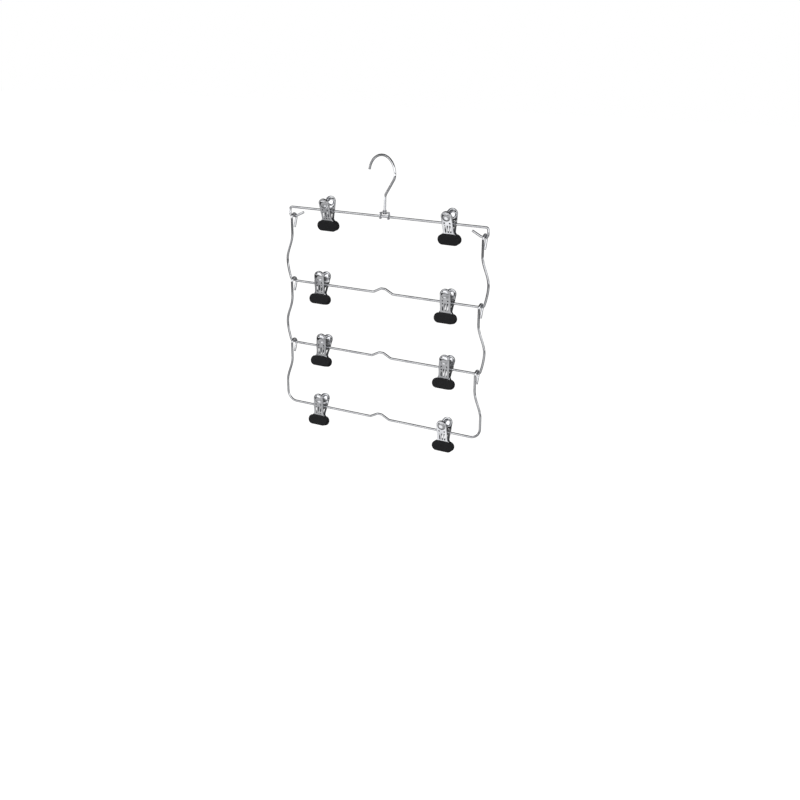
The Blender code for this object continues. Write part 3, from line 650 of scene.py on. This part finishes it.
def hook_stations(radius):
    """The hook from its forged head to its tip, as points over the bar's centre, with a radius for each."""
    web_bottom = WEB_ABOVE_BAR - BRACKET_SHEET / 2
    head_top = web_bottom - SWIVEL_GAP
    collar_bottom = web_bottom + BRACKET_SHEET + SWIVEL_GAP
    stations = []
    for angle in range(0, 91, 30):
        turn = radians(angle)
        edge = FORGED_EDGE * (1 - sin(turn))
        stations.append((HEAD_RADIUS - edge, head_top - HEAD_HEIGHT + FORGED_EDGE * (1 - cos(turn))))
    stations += [(HEAD_RADIUS, head_top - FORGED_STEP), (radius, head_top), (radius, collar_bottom)]
    for share in COLLAR_SHARES:
        bulge = sin(pi * share) ** COLLAR_FULLNESS
        stations.append((radius + (COLLAR_RADIUS - radius) * bulge, collar_bottom + COLLAR_HEIGHT * share))
    stations.append((radius, collar_bottom + COLLAR_HEIGHT))
    path = [Vector((0, height)) for _, height in stations]
    radii = [station_radius for station_radius, _ in stations]

    crown_height = -BAR_CENTRE.z + radius
    main_centre = Vector((-HOOK_OFFSET.length, crown_height - HOOK_RADIUS))
    neck_centre = Vector((main_centre.x + HOOK_RADIUS - NECK_BEND_RADIUS, main_centre.y))
    neck_start = NECK_SLOPE - pi / 2
    line_end = neck_centre + NECK_BEND_RADIUS * Vector((cos(neck_start), sin(neck_start)))
    foot_height = line_end.y - line_end.x * tan(NECK_SLOPE)
    stem_turn = pi / 2 - NECK_SLOPE
    stem_centre = Vector((STEM_BEND_RADIUS, foot_height - STEM_BEND_RADIUS * tan(stem_turn / 2)))
    bends = turned_arc(stem_centre, STEM_BEND_RADIUS, pi, pi - stem_turn)
    bends += turned_arc(neck_centre, NECK_BEND_RADIUS, neck_start, 0)
    bends += turned_arc(main_centre, HOOK_RADIUS, 0, HOOK_TIP_ANGLE)[1:]
    return path + bends, radii + [radius] * len(bends)


class HANGER_OT_make_hook(bpy.types.Operator):
    """Makes the hook: one wire with a forged head and collar, bent round at its top"""

    bl_idname = "hanger.make_hook"
    bl_label = "Hook"

    def execute(self, context):
        radius = context.scene.hanger_sizes.hook_diameter / 2
        path, radii = hook_stations(radius)
        route = [BAR_CENTRE + Vector((p.x * HOOK_WAY.x, p.x * HOOK_WAY.y, p.y)) for p in path]
        hook = lay_wire("bent_wire_hook", route, radius, radii, edge=HOOK_END_EDGE)
        hand_over(hook, "hook", "hook", "chrome_plated_wire")
        return {"FINISHED"}


def bracket_front_outline():
    """An inverted U of even thickness with round corners."""
    outer = BRACKET_LEG_SPACING / 2 + BRACKET_SHEET / 2
    top = WEB_ABOVE_BAR + BRACKET_SHEET / 2
    centre = (outer - BRACKET_CORNER, top - BRACKET_CORNER)
    right_outer = [Vector((outer, -BRACKET_EAR_RADIUS))]
    right_outer += turned_arc(centre, BRACKET_CORNER, 0, pi / 2)
    right_inner = turned_arc(centre, BRACKET_CORNER - BRACKET_SHEET, pi / 2, 0)
    right_inner.append(Vector((outer - BRACKET_SHEET, -BRACKET_EAR_RADIUS)))
    return right_outer + mirrored(right_outer) + mirrored(right_inner) + right_inner


def bracket_side_outline():
    """A wide web, a waist and round ears about the bar."""
    top = WEB_ABOVE_BAR + BRACKET_SHEET
    waist_height = (WEB_ABOVE_BAR + BRACKET_EAR_RADIUS) / 2
    ear_end = atan2(waist_height / 2, BRACKET_WAIST / 2)
    half = turned_arc((0, 0), BRACKET_EAR_RADIUS, -pi / 2, ear_end)
    waist = Vector((BRACKET_WAIST / 2, waist_height))
    shoulder = Vector((BRACKET_DEPTH / 2, WEB_ABOVE_BAR))
    side = [half[-1], waist, shoulder, Vector((BRACKET_DEPTH / 2, top))]
    half += rounded_corners(side, BRACKET_WAIST_BEND)[1:]
    return half + mirrored(half)[:-1]


class HANGER_OT_make_bracket(bpy.types.Operator):
    """Makes the swivel bracket: a strip bent over the bar, with holes for the bar and the hook's stem"""

    bl_idname = "hanger.make_bracket"
    bl_label = "Swivel bracket"

    def execute(self, context):
        sizes = context.scene.hanger_sizes
        width = BRACKET_LEG_SPACING + 4 * BRACKET_SHEET
        bracket = cut_sheet("swivel_strip", [bracket_front_outline()], BRACKET_DEPTH, 0, FACING_FRONT)
        side = cut_sheet("side_cut", [bracket_side_outline()], width, 0, FACING_SIDE)
        cut_away(bracket, side, "INTERSECT")
        for radius, depth, turn, height in (
            (sizes.wire_diameter / 2 + SWIVEL_GAP, width, (0, pi / 2, 0), 0),
            (sizes.hook_diameter / 2 + SWIVEL_GAP, 4 * BRACKET_SHEET, (0, 0, 0), WEB_ABOVE_BAR),
        ):
            bpy.ops.mesh.primitive_cylinder_add(
                vertices=CUTTER_SIDES, radius=radius, depth=depth, rotation=turn, location=(0, 0, height)
            )
            cut_away(bracket, context.active_object)
        select_only(bracket)
        edges = bracket.modifiers.new("edges", "BEVEL")
        edges.width = BRACKET_EDGE
        edges.segments = EDGE_SEGMENTS
        edges.limit_method = "ANGLE"
        edges.angle_limit = SMOOTH_ANGLE
        bpy.ops.object.modifier_apply(modifier=edges.name)
        bracket.location = BAR_CENTRE
        apply_place(bracket)
        tidy_mesh(bracket)
        hand_over(bracket, "swivel_bracket", "swivel_bracket", "chrome_plated_sheet")
        return {"FINISHED"}


def top_bar_route():
    """Right half of the top bar: bar, down-leg, seat and rising tail."""
    half = [Vector((0, 0))]
    half += turned_arc((TOP_BAR_HALF - TOP_BAR_CORNER, -TOP_BAR_CORNER), TOP_BAR_CORNER, pi / 2, 0)
    seat_end = SEAT_X + SEAT_HALF_LENGTH
    half += turned_arc((seat_end, SEAT_CORNER - SEAT_DROP), SEAT_CORNER, 0, -pi / 2)
    tail = [half[-1], Vector((TAIL_CORNER_X, -SEAT_DROP)), Vector((TAIL_END_X, TAIL_RISE - SEAT_DROP))]
    half += rounded_corners(tail, TAIL_BEND)[1:]
    return [Vector((p.x, 0, p.y)) for p in both_halves(half)]


def tier_route(lowest):
    """A tier's wire about its hinge: loops, bowed arms and a bar with its raised middle."""
    half = [Vector((0, BUMP_HEIGHT)), Vector((BUMP_TOP_HALF, BUMP_HEIGHT)), Vector((BUMP_BASE_HALF, 0))]
    bow = Vector((SEAT_X + ARM_BOW, ARM_BOW_HEIGHT))
    if lowest:
        centre = (bow.x - LOWER_CORNER, LOWER_CORNER)
        corner = turned_arc(centre, LOWER_CORNER, -pi / 2, 0)
        half = rounded_corners(half + [corner[0]]) + corner[1:]
    else:
        outer = SEAT_X + SHELF_HALF_LENGTH
        inner = SEAT_X - SHELF_HALF_LENGTH
        centre = (outer, SHELF_HEIGHT + SHELF_CORNER)
        corner = turned_arc(centre, SHELF_CORNER, -pi / 2, SHELF_CORNER_END)
        shelf = [Vector((inner - SHELF_RAMP, 0)), Vector((inner, SHELF_HEIGHT)), corner[0]]
        half = rounded_corners(half + shelf) + corner[1:]
        leaving = Vector((-sin(SHELF_CORNER_END), cos(SHELF_CORNER_END)))
        half += smooth_bend(half[-1], bow, leaving, Vector((0, 1)))
    top = BAR_DROP - ARM_STRAIGHT
    for i in range(ARM_STEPS + 1):
        share = i / ARM_STEPS
        height = bow.y + (top - bow.y) * share
        half.append(Vector((bow.x - ARM_BOW * (1 - cos(pi * share)) / 2, height)))
    route = [Vector((p.x, -LOOP_RADIUS, p.y - BAR_DROP)) for p in half]
    crown = bpy.context.scene.hanger_sizes.wire_diameter + SWIVEL_GAP
    loop = turned_arc((0, crown - LOOP_RADIUS), LOOP_RADIUS, pi, -LOOP_TAIL_LEAN)
    loop.append(loop[-1] - Vector((sin(LOOP_TAIL_LEAN), cos(LOOP_TAIL_LEAN))) * LOOP_TAIL_LENGTH)
    route += [Vector((SEAT_X, p.x, p.y)) for p in loop]
    lean = Matrix.Rotation(TIER_LEAN, 3, "X")
    return [lean @ p for p in both_halves(route)]


def without_repeats(route):
    """The route without points that fall on the one before."""
    kept = [route[0]]
    for point in route[1:]:
        if (point - kept[-1]).length > LEAST_STEP:
            kept.append(point)
    return kept


class HANGER_OT_make_bars(bpy.types.Operator):
    """Makes the top bar and the three tiers that hang from it, each from one bent wire"""

    bl_idname = "hanger.make_bars"
    bl_label = "Bars"

    def execute(self, context):
        radius = context.scene.hanger_sizes.wire_diameter / 2
        route = [BAR_CENTRE + p for p in without_repeats(top_bar_route())]
        top = lay_wire("bent_wire_top_bar", route, radius)
        hand_over(top, "top_bar", "top_bar", "chrome_plated_wire")
        for tier in TIERS:
            hinge = JOINT_PLACES[f"tier_{tier}_swing"]
            route = [hinge + p for p in without_repeats(tier_route(tier == TIERS[-1]))]
            wire = lay_wire(f"bent_wire_tier_{tier}", route, radius)
            hand_over(wire, f"tier_{tier}", f"tier_{tier}_wire", "chrome_plated_wire")
        return {"FINISHED"}


def plate_y(height):
    """The middle of the leaning sheet from the side, at a height over the bar."""
    return LIP_Y - (height - FOLD_Z) * tan(PLATE_LEAN)


def flat_height(height):
    """Where a height over the bar lies on the flat stamping, up from its fold."""
    return (height - FOLD_Z) / cos(PLATE_LEAN)


def bent_place(x, back, up):
    """Where a point of the flat stamping goes when the stamping is bent round its soft fold."""
    turn = PLATE_LEAN * min(1, max(0, (up + FOLD_SOFTNESS) / (2 * FOLD_SOFTNESS)))
    bend_radius = 2 * FOLD_SOFTNESS / PLATE_LEAN
    below = min(up, -FOLD_SOFTNESS)
    above = max(0, up - FOLD_SOFTNESS)
    y = LIP_Y - bend_radius * (1 - cos(turn)) - above * sin(turn) + back * cos(turn)
    z = FOLD_Z + below + bend_radius * sin(turn) + above * cos(turn) + back * sin(turn)
    return Vector((x, y, z))


def plate_outline(sheet):
    """The flat stamping: a wide lip, a flare over the grip, and a round top set in by half its flange."""
    lip_radius = PAD_HEIGHT / 2 - LIP_WALL
    shoulder = PAD_TOP - LIP_BELOW_PAD_TOP
    rise = shoulder + PAD_CENTRE_BELOW
    reach = atan2(rise, sqrt(lip_radius**2 - rise**2))
    lip = turned_arc((PAD_WIDTH / 2 - PAD_HEIGHT / 2, -PAD_CENTRE_BELOW), lip_radius, -pi / 2, reach)
    right = [p - Vector((0, FOLD_Z)) for p in lip]
    inner = PLATE_HALF_WIDTH - sheet / 2
    side = [
        Vector((FLARE_HALF_WIDTH, shoulder - FOLD_Z)),
        Vector((FLARE_HALF_WIDTH, FLARE_FOOT)),
        Vector((PLATE_HALF_WIDTH, FLARE_TOP)),
        Vector((PLATE_HALF_WIDTH, FLANGE_FOOT + sheet / 2)),
    ]
    right += rounded_corners(side, FLARE_BEND)
    right += turned_arc((0, DOME_CENTRE), inner, 0, pi / 2)
    return right + mirrored(right)[1:]


def flange_outline(sheet):
    """The flange from the front: a band as wide as the sheet is thick, up both sides and round the top."""
    outer = [Vector((PLATE_HALF_WIDTH, FLANGE_FOOT))]
    outer += turned_arc((0, DOME_CENTRE), PLATE_HALF_WIDTH, 0, pi)
    outer.append(Vector((-PLATE_HALF_WIDTH, FLANGE_FOOT)))
    inner = PLATE_HALF_WIDTH - sheet
    outer.append(Vector((-inner, FLANGE_FOOT)))
    outer += turned_arc((0, DOME_CENTRE), inner, pi, 0)
    outer.append(Vector((inner, FLANGE_FOOT)))
    return outer


def flange_trim_outline():
    """What is cut from the flange's back, from the side: it is shallow by the ears and deep at the top."""
    far = 3 * FLANGE_HIGH_DEPTH
    return [
        Vector((FLANGE_LOW_DEPTH, -FLANGE_FOOT)),
        Vector((far, -FLANGE_FOOT)),
        Vector((far, flat_height(FLANGE_HIGH_FOOT))),
        Vector((FLANGE_HIGH_DEPTH, flat_height(FLANGE_HIGH_FOOT))),
        Vector((FLANGE_LOW_DEPTH, flat_height(FLANGE_LOW_TOP))),
    ]


def slot_outline(x):
    """A long slot with round ends, on the flat stamping."""
    half = SLOT_WIDTH / 2
    top = turned_arc((x, flat_height(SLOT_TOP) - half), half, 0, pi, ROUND_HOLE_STEP)
    return top + turned_arc((x, flat_height(SLOT_BOTTOM) + half), half, pi, 2 * pi, ROUND_HOLE_STEP)


def round_hole(centre, radius, step):
    """A circle of points, without the last, which falls on the first."""
    return turned_arc(centre, radius, 0, 2 * pi, step)[:-1]


def pressed_height(distance, sizes):
    """How far the dome stands out at a distance from its centre: steep at its rim and flatter on top."""
    return sizes.dome_height * max(0, 1 - (distance / DOME_RADIUS) ** DOME_STEEPNESS)


def edge_roll(x, up):
    """How far the stamping's edge is rolled back at a point, fading out over the grip."""
    distance = abs(x) if up < DOME_CENTRE else hypot(x, up - DOME_CENTRE)
    share = max(0, 1 - (PLATE_HALF_WIDTH - distance) / EDGE_ROLL_REACH)
    return EDGE_ROLL * share**2 * min(1, max(0, (up - FLARE_TOP) / EDGE_ROLL_FADE))


def press_plate(plate, sizes):
    """Presses and bends the stamping: a dome, a slight crown, rolled edges and the fold over the grip."""
    steps = round(2 * PLATE_HALF_WIDTH / PRESSING_STEP)
    across = [PLATE_HALF_WIDTH * (2 * i / steps - 1) for i in range(1, steps)]
    slice_mesh(plate, across, Vector((1, 0, 0)))
    folds = [FOLD_SOFTNESS * i / FOLD_STEPS for i in range(-FOLD_STEPS, FOLD_STEPS + 1)]
    slice_mesh(plate, [DOME_CENTRE + offset for offset in across] + folds, Vector((0, 0, 1)))
    for vertex in plate.data.vertices:
        x, back, up = vertex.co
        pressed = pressed_height(hypot(x, up - DOME_CENTRE), sizes)
        crown = CROWN_DEPTH * (x / PLATE_HALF_WIDTH) ** 2 * min(1, max(0, up / CROWN_FADE))
        vertex.co = bent_place(x, back + crown + edge_roll(x, up) - pressed, up)


def ear_outline():
    """An ear from the side, from the plate round the bar."""
    end = turned_arc((0, 0), EAR_RADIUS, -pi / 2, pi / 2)
    upper = Vector((plate_y(EAR_HALF_HEIGHT), EAR_HALF_HEIGHT))
    lower = Vector((plate_y(-EAR_HALF_HEIGHT), -EAR_HALF_HEIGHT))
    return end + [upper, lower]


def mark_painted_shade(plate):
    """Marks the inside of the stamping below the bar, where shade is painted dark."""
    marks = plate.data.attributes.new("painted_inside_shade", "FLOAT", "POINT").data
    for mark, vertex in zip(marks, plate.data.vertices):
        if vertex.normal.y > FACING_INWARDS:
            mark.value = min(1, max(0, (PAINTED_SHADE_TOP - vertex.co.z) / PAINTED_SHADE_FADE))


def make_plate(sizes):
    """A whole stamping, with one ear at its edge and one set in, so that two like plates interleave."""
    thickness = sizes.sheet_thickness
    outlines = [plate_outline(thickness)]
    outlines += [slot_outline(SLOT_PITCH * i) for i in (-1, 0, 1)]
    for way in (-1, 1):
        centre = (way * LEG_HOLE_X, flat_height(LEG_HOLE_Z))
        outlines.append(round_hole(centre, LEG_HOLE_RADIUS, ROUND_HOLE_STEP))
    plate = cut_sheet("plate_master", outlines, thickness, sizes.sheet_edge, FACING_FRONT)
    depth = thickness / 2 + FLANGE_HIGH_DEPTH
    flange_edge = thickness / 2 - ROUND_LEFT
    place = (0, FLANGE_HIGH_DEPTH - depth / 2, 0)
    flange = cut_sheet("flange", [flange_outline(thickness)], depth, flange_edge, FACING_FRONT, place)
    trim = cut_sheet("flange_trim", [flange_trim_outline()], 3 * PLATE_HALF_WIDTH, 0, FACING_SIDE)
    cut_away(flange, trim)
    join_to(plate, [flange])
    press_plate(plate, sizes)
    outer = -(PLATE_HALF_WIDTH + EAR_PROUD - thickness / 2)
    inner = -outer - thickness - PAD_GAP
    ear_outlines = [ear_outline(), round_hole((0, 0), EAR_HOLE_RADIUS, EAR_HOLE_STEP)]
    ears = [
        cut_sheet("ear", ear_outlines, thickness, sizes.sheet_edge / 2, FACING_SIDE, (x, 0, 0))
        for x in (outer, inner)
    ]
    join_to(plate, ears)
    bpy.ops.object.shade_smooth_by_angle(angle=SMOOTH_ANGLE)
    mark_painted_shade(plate)
    return plate


class HANGER_OT_make_plates(bpy.types.Operator):
    """Makes the clips' plates: one stamping, copied to the front and the rear of each clip"""

    bl_idname = "hanger.make_plates"
    bl_label = "Clip plates"

    def execute(self, context):
        master = make_plate(context.scene.hanger_sizes)
        for clip in CLIP_LEANS:
            for half in ("front", "rear"):
                side = f"{clip}_{half}"
                piece = copy_to(master, f"{side}_stamping", clip, half == "rear")
                hand_over(piece, f"{side}_jaw", f"{side}_plate", "chrome_plated_sheet")
        bpy.data.objects.remove(master, do_unlink=True)
        return {"FINISHED"}


def make_grip(sizes):
    """A rubber grip: a stadium with soft edges, grooves on its gripping face and a mouth for the plate."""
    radius = PAD_HEIGHT / 2
    right = turned_arc((PAD_WIDTH / 2 - radius, -PAD_CENTRE_BELOW), radius, -pi / 2, pi / 2)
    outline = right + mirrored(right)
    grip = cut_sheet("grip_master", [outline], PAD_THICKNESS, sizes.pad_edge, FACING_FRONT, (0, LIP_Y, 0))
    grooved = PAD_HEIGHT / 2 - PLAIN_EDGE
    steps = round(2 * grooved / (GROOVE_PITCH / GROOVE_STEPS))
    heights = [-PAD_CENTRE_BELOW - grooved + 2 * grooved * i / steps for i in range(steps + 1)]
    slice_mesh(grip, heights, Vector((0, 0, 1)))
    slice_mesh(grip, [side * (PAD_WIDTH / 2 - GROOVE_SIDE_CUT) for side in (-1, 1)], Vector((1, 0, 0)))
    face = LIP_Y + PAD_THICKNESS / 2
    for vertex in grip.data.vertices:
        height = vertex.co.z + PAD_CENTRE_BELOW
        inside = abs(vertex.co.x) < PAD_WIDTH / 2 - GROOVE_END
        if vertex.co.y > face - WELD_DISTANCE and abs(height) < grooved and inside:
            vertex.co.y -= sizes.groove_depth * (1 - cos(2 * pi * height / GROOVE_PITCH)) / 2
    bpy.ops.mesh.primitive_cube_add(size=1, location=(0, LIP_Y, PAD_TOP))
    mouth = bpy.context.active_object
    mouth.scale = (2 * FLARE_HALF_WIDTH + 2 * PAD_GAP, sizes.sheet_thickness + 2 * PAD_GAP, MOUTH_DEPTH)
    apply_place(mouth)
    cut_away(grip, mouth)
    tidy_mesh(grip)
    return grip


class HANGER_OT_make_grips(bpy.types.Operator):
    """Makes the clips' rubber grips"""

    bl_idname = "hanger.make_grips"
    bl_label = "Rubber grips"

    def execute(self, context):
        master = make_grip(context.scene.hanger_sizes)
        for clip in CLIP_LEANS:
            for half in ("front", "rear"):
                side = f"{clip}_{half}"
                piece = copy_to(master, f"{side}_grip", clip, half == "rear")
                hand_over(piece, f"{side}_jaw", f"{side}_pad", "moulded_black_rubber")
        bpy.data.objects.remove(master, do_unlink=True)
        return {"FINISHED"}


def spring_route(sizes):
    """A coil round the bar with a leg at each end, out through a plate's small hole."""
    coil_radius = sizes.wire_diameter / 2 + SPRING_CLEARANCE + sizes.spring_diameter / 2
    count = SPRING_TURNS * SPRING_POINTS_PER_TURN
    route = []
    for i in range(count + 1):
        angle = pi / 2 - 2 * pi * i / SPRING_POINTS_PER_TURN
        x = LEG_HOLE_X * (2 * i / count - 1)
        route.append(Vector((x, coil_radius * cos(angle), coil_radius * sin(angle))))
    tip_y = plate_y(LEG_HOLE_Z) - sizes.sheet_thickness / 2 - SPRING_LEG_PROUD
    first = Vector((-LEG_HOLE_X, tip_y, LEG_HOLE_Z))
    last = Vector((LEG_HOLE_X, -tip_y, LEG_HOLE_Z))
    return [first] + route + [last]


class HANGER_OT_make_springs(bpy.types.Operator):
    """Makes the clips' torsion springs"""

    bl_idname = "hanger.make_springs"
    bl_label = "Springs"

    def execute(self, context):
        sizes = context.scene.hanger_sizes
        radius = sizes.spring_diameter / 2
        route = spring_route(sizes)
        master = lay_wire(
            "spring_master", route, radius, resolution=SPRING_BEVEL_RESOLUTION, edge=SPRING_END_EDGE
        )
        for clip in CLIP_LEANS:
            piece = copy_to(master, f"{clip}_torsion_spring", clip)
            piece.data.materials.clear()
            piece.data.materials.append(finish("drawn_spring_steel"))
            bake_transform(piece)
            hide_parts(f"{clip}_spring")
        bpy.data.objects.remove(master, do_unlink=True)
        return {"FINISHED"}


# Stage
FLOOR_HEIGHT = -1.0
FLOOR_SIZE = 60.0
FLOOR_GLOW = 0.45
PAPER_GREY = 0.75
PAPER_ROUGHNESS = 0.9
SOFT_LIGHT = 0.8
# Each lamp's name, place, size in metres and power in watts
LAMPS = (
    ("key_light", (-0.9, -1.3, 0.9), 0.7, 9.0),
    ("side_light", (1.6, -0.4, 0.5), 0.5, 4.0),
)
LAMP_AIM = Vector((0, 0, -0.2))
# The photograph's view: the turn is in degrees, the lens and the sensor are in millimetres
CAMERA_PLACE = (0.67768, -1.23767, 0.11076)
CAMERA_TURN = (71.6055, -1.8929, 27.8572)
CAMERA_LENS = 44.235
CAMERA_SENSOR = 36.0

# What polished metal sees: a white strip in front over a grey wall, a black card at the left, and paper on
# the floor whose grey changes with the distance, with a white card on it. Behind, all of it is dim.
# The wall's heights and the ends of its fades are shares of a direction, and the floor's are in metres.
BLACK_CARD = 0.04
DIM_BACK = 0.3
WALL_GREYS = ((0.0, 0.35), (0.06, 0.35), (0.1, 1.7), (0.5, 1.7), (0.62, 0.12), (1.0, 0.12))
WALL_BACK_FADE = (-0.4, 0.1)
WALL_LEFT_FADE = (-0.85, -0.65)
FLOOR_GREYS = ((0.0, 0.42), (0.9, 0.42), (1.4, 0.6), (2.2, 0.6), (2.7, 0.24), (8.0, 0.24))
FURTHEST_GREY = 8.0
FLOOR_BACK_FADE = (-0.35, 0.25)
FLOOR_LEFT_FADE = (-1.7, -1.3)
FAR_PAPER = 1.5
FAR_PAPER_FADE = (5.5, 7.0)
WHITE_CARD = 0.8
WHITE_CARD_PLACE = (-0.3, -0.5, 0.0)
WHITE_CARD_FADE = (0.2, 0.38)


def set_greys(ramp, stops, furthest):
    """Gives a colour ramp a grey at each of its stops, which are places up to the furthest."""
    for _ in stops[2:]:
        ramp.elements.new(1.0)
    for element, (stop, grey) in zip(ramp.elements, stops):
        element.position = stop / furthest
        element.color = (grey, grey, grey, 1)


def light_the_world(world):
    """A white studio seen by the camera. Metal sees a bright front, a black card and a dim back."""
    world.use_nodes = True
    tree = world.node_tree
    tree.nodes.clear()
    rays = add_node(tree, "ShaderNodeLightPath").outputs
    way = add_node(tree, "ShaderNodeTexCoord").outputs["Generated"]
    parts = add_node(tree, "ShaderNodeSeparateXYZ", {"Vector": way}).outputs
    wall = add_node(tree, "ShaderNodeValToRGB", {"Fac": parts["Z"]})
    set_greys(wall.color_ramp, WALL_GREYS, 1.0)
    front, beside = [
        add_node(tree, "ShaderNodeMapRange", limits, interpolation_type="SMOOTHSTEP").outputs["Result"]
        for limits in (
            from_to(parts["Y"], WALL_BACK_FADE, (1.0, DIM_BACK)),
            from_to(parts["X"], WALL_LEFT_FADE, (BLACK_CARD, 1.0)),
        )
    ]
    dimmed = add_node(tree, "ShaderNodeMath", {0: front, 1: beside}, operation="MULTIPLY").outputs["Value"]
    in_metal = add_node(
        tree, "ShaderNodeMath", {0: wall.outputs["Color"], 1: dimmed}, operation="MULTIPLY"
    ).outputs["Value"]
    on_pieces = add_node(
        tree, "ShaderNodeMix", {"Factor": rays["Is Glossy Ray"], "A": SOFT_LIGHT, "B": in_metal}
    ).outputs["Result"]
    seen = add_node(
        tree, "ShaderNodeMix", {"Factor": rays["Is Camera Ray"], "A": on_pieces, "B": 1.0}
    ).outputs["Result"]
    background = add_node(tree, "ShaderNodeBackground", {"Color": (1, 1, 1, 1), "Strength": seen})
    add_node(tree, "ShaderNodeOutputWorld", {"Surface": background.outputs["Background"]})


def pale_floor_material():
    """Matt white paper that keeps the hanger's shadow. Metal sees it in greys in front, and dim behind."""
    material, tree, shader = new_material("white_paper")
    rays = add_node(tree, "ShaderNodeLightPath").outputs
    place = add_node(tree, "ShaderNodeTexCoord").outputs["Object"]
    parts = add_node(tree, "ShaderNodeSeparateXYZ", {"Vector": place}).outputs
    distance = add_node(tree, "ShaderNodeVectorMath", {0: place}, operation="LENGTH").outputs["Value"]
    from_card = add_node(
        tree, "ShaderNodeVectorMath", {0: place, 1: WHITE_CARD_PLACE}, operation="DISTANCE"
    ).outputs["Value"]
    share = add_node(tree, "ShaderNodeMapRange", {"Value": distance, "From Max": FURTHEST_GREY})
    paper = add_node(tree, "ShaderNodeValToRGB", {"Fac": share.outputs["Result"]})
    set_greys(paper.color_ramp, FLOOR_GREYS, FURTHEST_GREY)
    front, beside, card, far = [
        add_node(tree, "ShaderNodeMapRange", limits, interpolation_type="SMOOTHSTEP").outputs["Result"]
        for limits in (
            from_to(parts["Y"], FLOOR_BACK_FADE, (1.0, DIM_BACK)),
            from_to(parts["X"], FLOOR_LEFT_FADE, (BLACK_CARD, 1.0)),
            from_to(from_card, WHITE_CARD_FADE, (WHITE_CARD, 0.0)),
            from_to(distance, FAR_PAPER_FADE, (0.0, FAR_PAPER)),
        )
    ]
    greys = add_node(
        tree, "ShaderNodeMath", {0: paper.outputs["Color"], 1: beside}, operation="MULTIPLY"
    ).outputs["Value"]
    whites = add_node(tree, "ShaderNodeMath", {0: card, 1: far}, operation="ADD").outputs["Value"]
    both = add_node(tree, "ShaderNodeMath", {0: greys, 1: whites}, operation="ADD").outputs["Value"]
    dimmed = add_node(tree, "ShaderNodeMath", {0: both, 1: front}, operation="MULTIPLY").outputs["Value"]
    in_metal = add_node(
        tree, "ShaderNodeMix", {"Factor": rays["Is Glossy Ray"], "A": 0.0, "B": dimmed}
    ).outputs["Result"]
    glow = add_node(
        tree, "ShaderNodeMix", {"Factor": rays["Is Camera Ray"], "A": in_metal, "B": FLOOR_GLOW}
    ).outputs["Result"]
    tree.links.new(glow, shader.inputs["Emission Strength"])
    # Metal sees the paper's glow alone, so that the dark parts stay dark
    matt = add_node(
        tree, "ShaderNodeMix", {"Factor": rays["Is Glossy Ray"], "A": PAPER_GREY, "B": 0.0}
    ).outputs["Result"]
    tree.links.new(matt, shader.inputs["Base Color"])
    shader.inputs["Emission Color"].default_value = (1, 1, 1, 1)
    shader.inputs["Roughness"].default_value = PAPER_ROUGHNESS
    shader.inputs["Specular IOR Level"].default_value = 0.0
    return material


class HANGER_OT_set_stage(bpy.types.Operator):
    """Sets the floor, the soft lights and the camera"""

    bl_idname = "hanger.set_stage"
    bl_label = "Stage"

    def execute(self, context):
        scene = context.scene
        if scene.world is None:
            scene.world = bpy.data.worlds.new("studio")
        light_the_world(scene.world)
        bpy.ops.mesh.primitive_plane_add(size=FLOOR_SIZE, location=(0, 0, FLOOR_HEIGHT))
        floor = context.active_object
        floor.name = "pale_floor"
        floor.data.materials.append(pale_floor_material())
        for name, place, size, power in LAMPS:
            bpy.ops.object.light_add(type="AREA", location=place)
            lamp = context.active_object
            lamp.name = name
            lamp.data.size = size
            lamp.data.energy = power
            lamp.visible_glossy = False
            lamp.rotation_euler = (LAMP_AIM - Vector(place)).to_track_quat("-Z", "Y").to_euler()
        turn = [radians(angle) for angle in CAMERA_TURN]
        bpy.ops.object.camera_add(location=CAMERA_PLACE, rotation=turn)
        camera = context.active_object
        camera.data.lens = CAMERA_LENS
        camera.data.sensor_width = CAMERA_SENSOR
        scene.camera = camera
        scene.view_settings.view_transform = "Standard"
        return {"FINISHED"}


STEPS = (
    HANGER_OT_set_stage,
    HANGER_OT_make_hook,
    HANGER_OT_make_bracket,
    HANGER_OT_make_bars,
    HANGER_OT_make_plates,
    HANGER_OT_make_grips,
    HANGER_OT_make_springs,
)


class HANGER_PT_pieces(bpy.types.Panel):
    """Lists the hanger's sizes, finishes and pieces"""

    bl_idname = "HANGER_PT_pieces"
    bl_label = "Tiered Trouser Hanger"
    bl_space_type = "VIEW_3D"
    bl_region_type = "UI"
    bl_category = "Hanger"

    def draw(self, context):
        for group in (context.scene.hanger_sizes, context.scene.hanger_finishes):
            box = self.layout.box()
            for name in group.__annotations__:
                box.prop(group, name)
        for step in STEPS:
            self.layout.operator(step.bl_idname)


CLASSES = (HangerSizes, HangerFinishes, *STEPS, HANGER_PT_pieces)


def register():
    for cls in CLASSES:
        bpy.utils.register_class(cls)
    bpy.types.Scene.hanger_sizes = PointerProperty(type=HangerSizes)
    bpy.types.Scene.hanger_finishes = PointerProperty(type=HangerFinishes)


def unregister():
    del bpy.types.Scene.hanger_finishes
    del bpy.types.Scene.hanger_sizes
    for cls in reversed(CLASSES):
        bpy.utils.unregister_class(cls)


def main():
    register()
    deselect_all()
    for step in STEPS:
        group, name = step.bl_idname.split(".")
        getattr(getattr(bpy.ops, group), name)()
    bpy.context.view_layer.update()


if __name__ == "__main__":
    main()
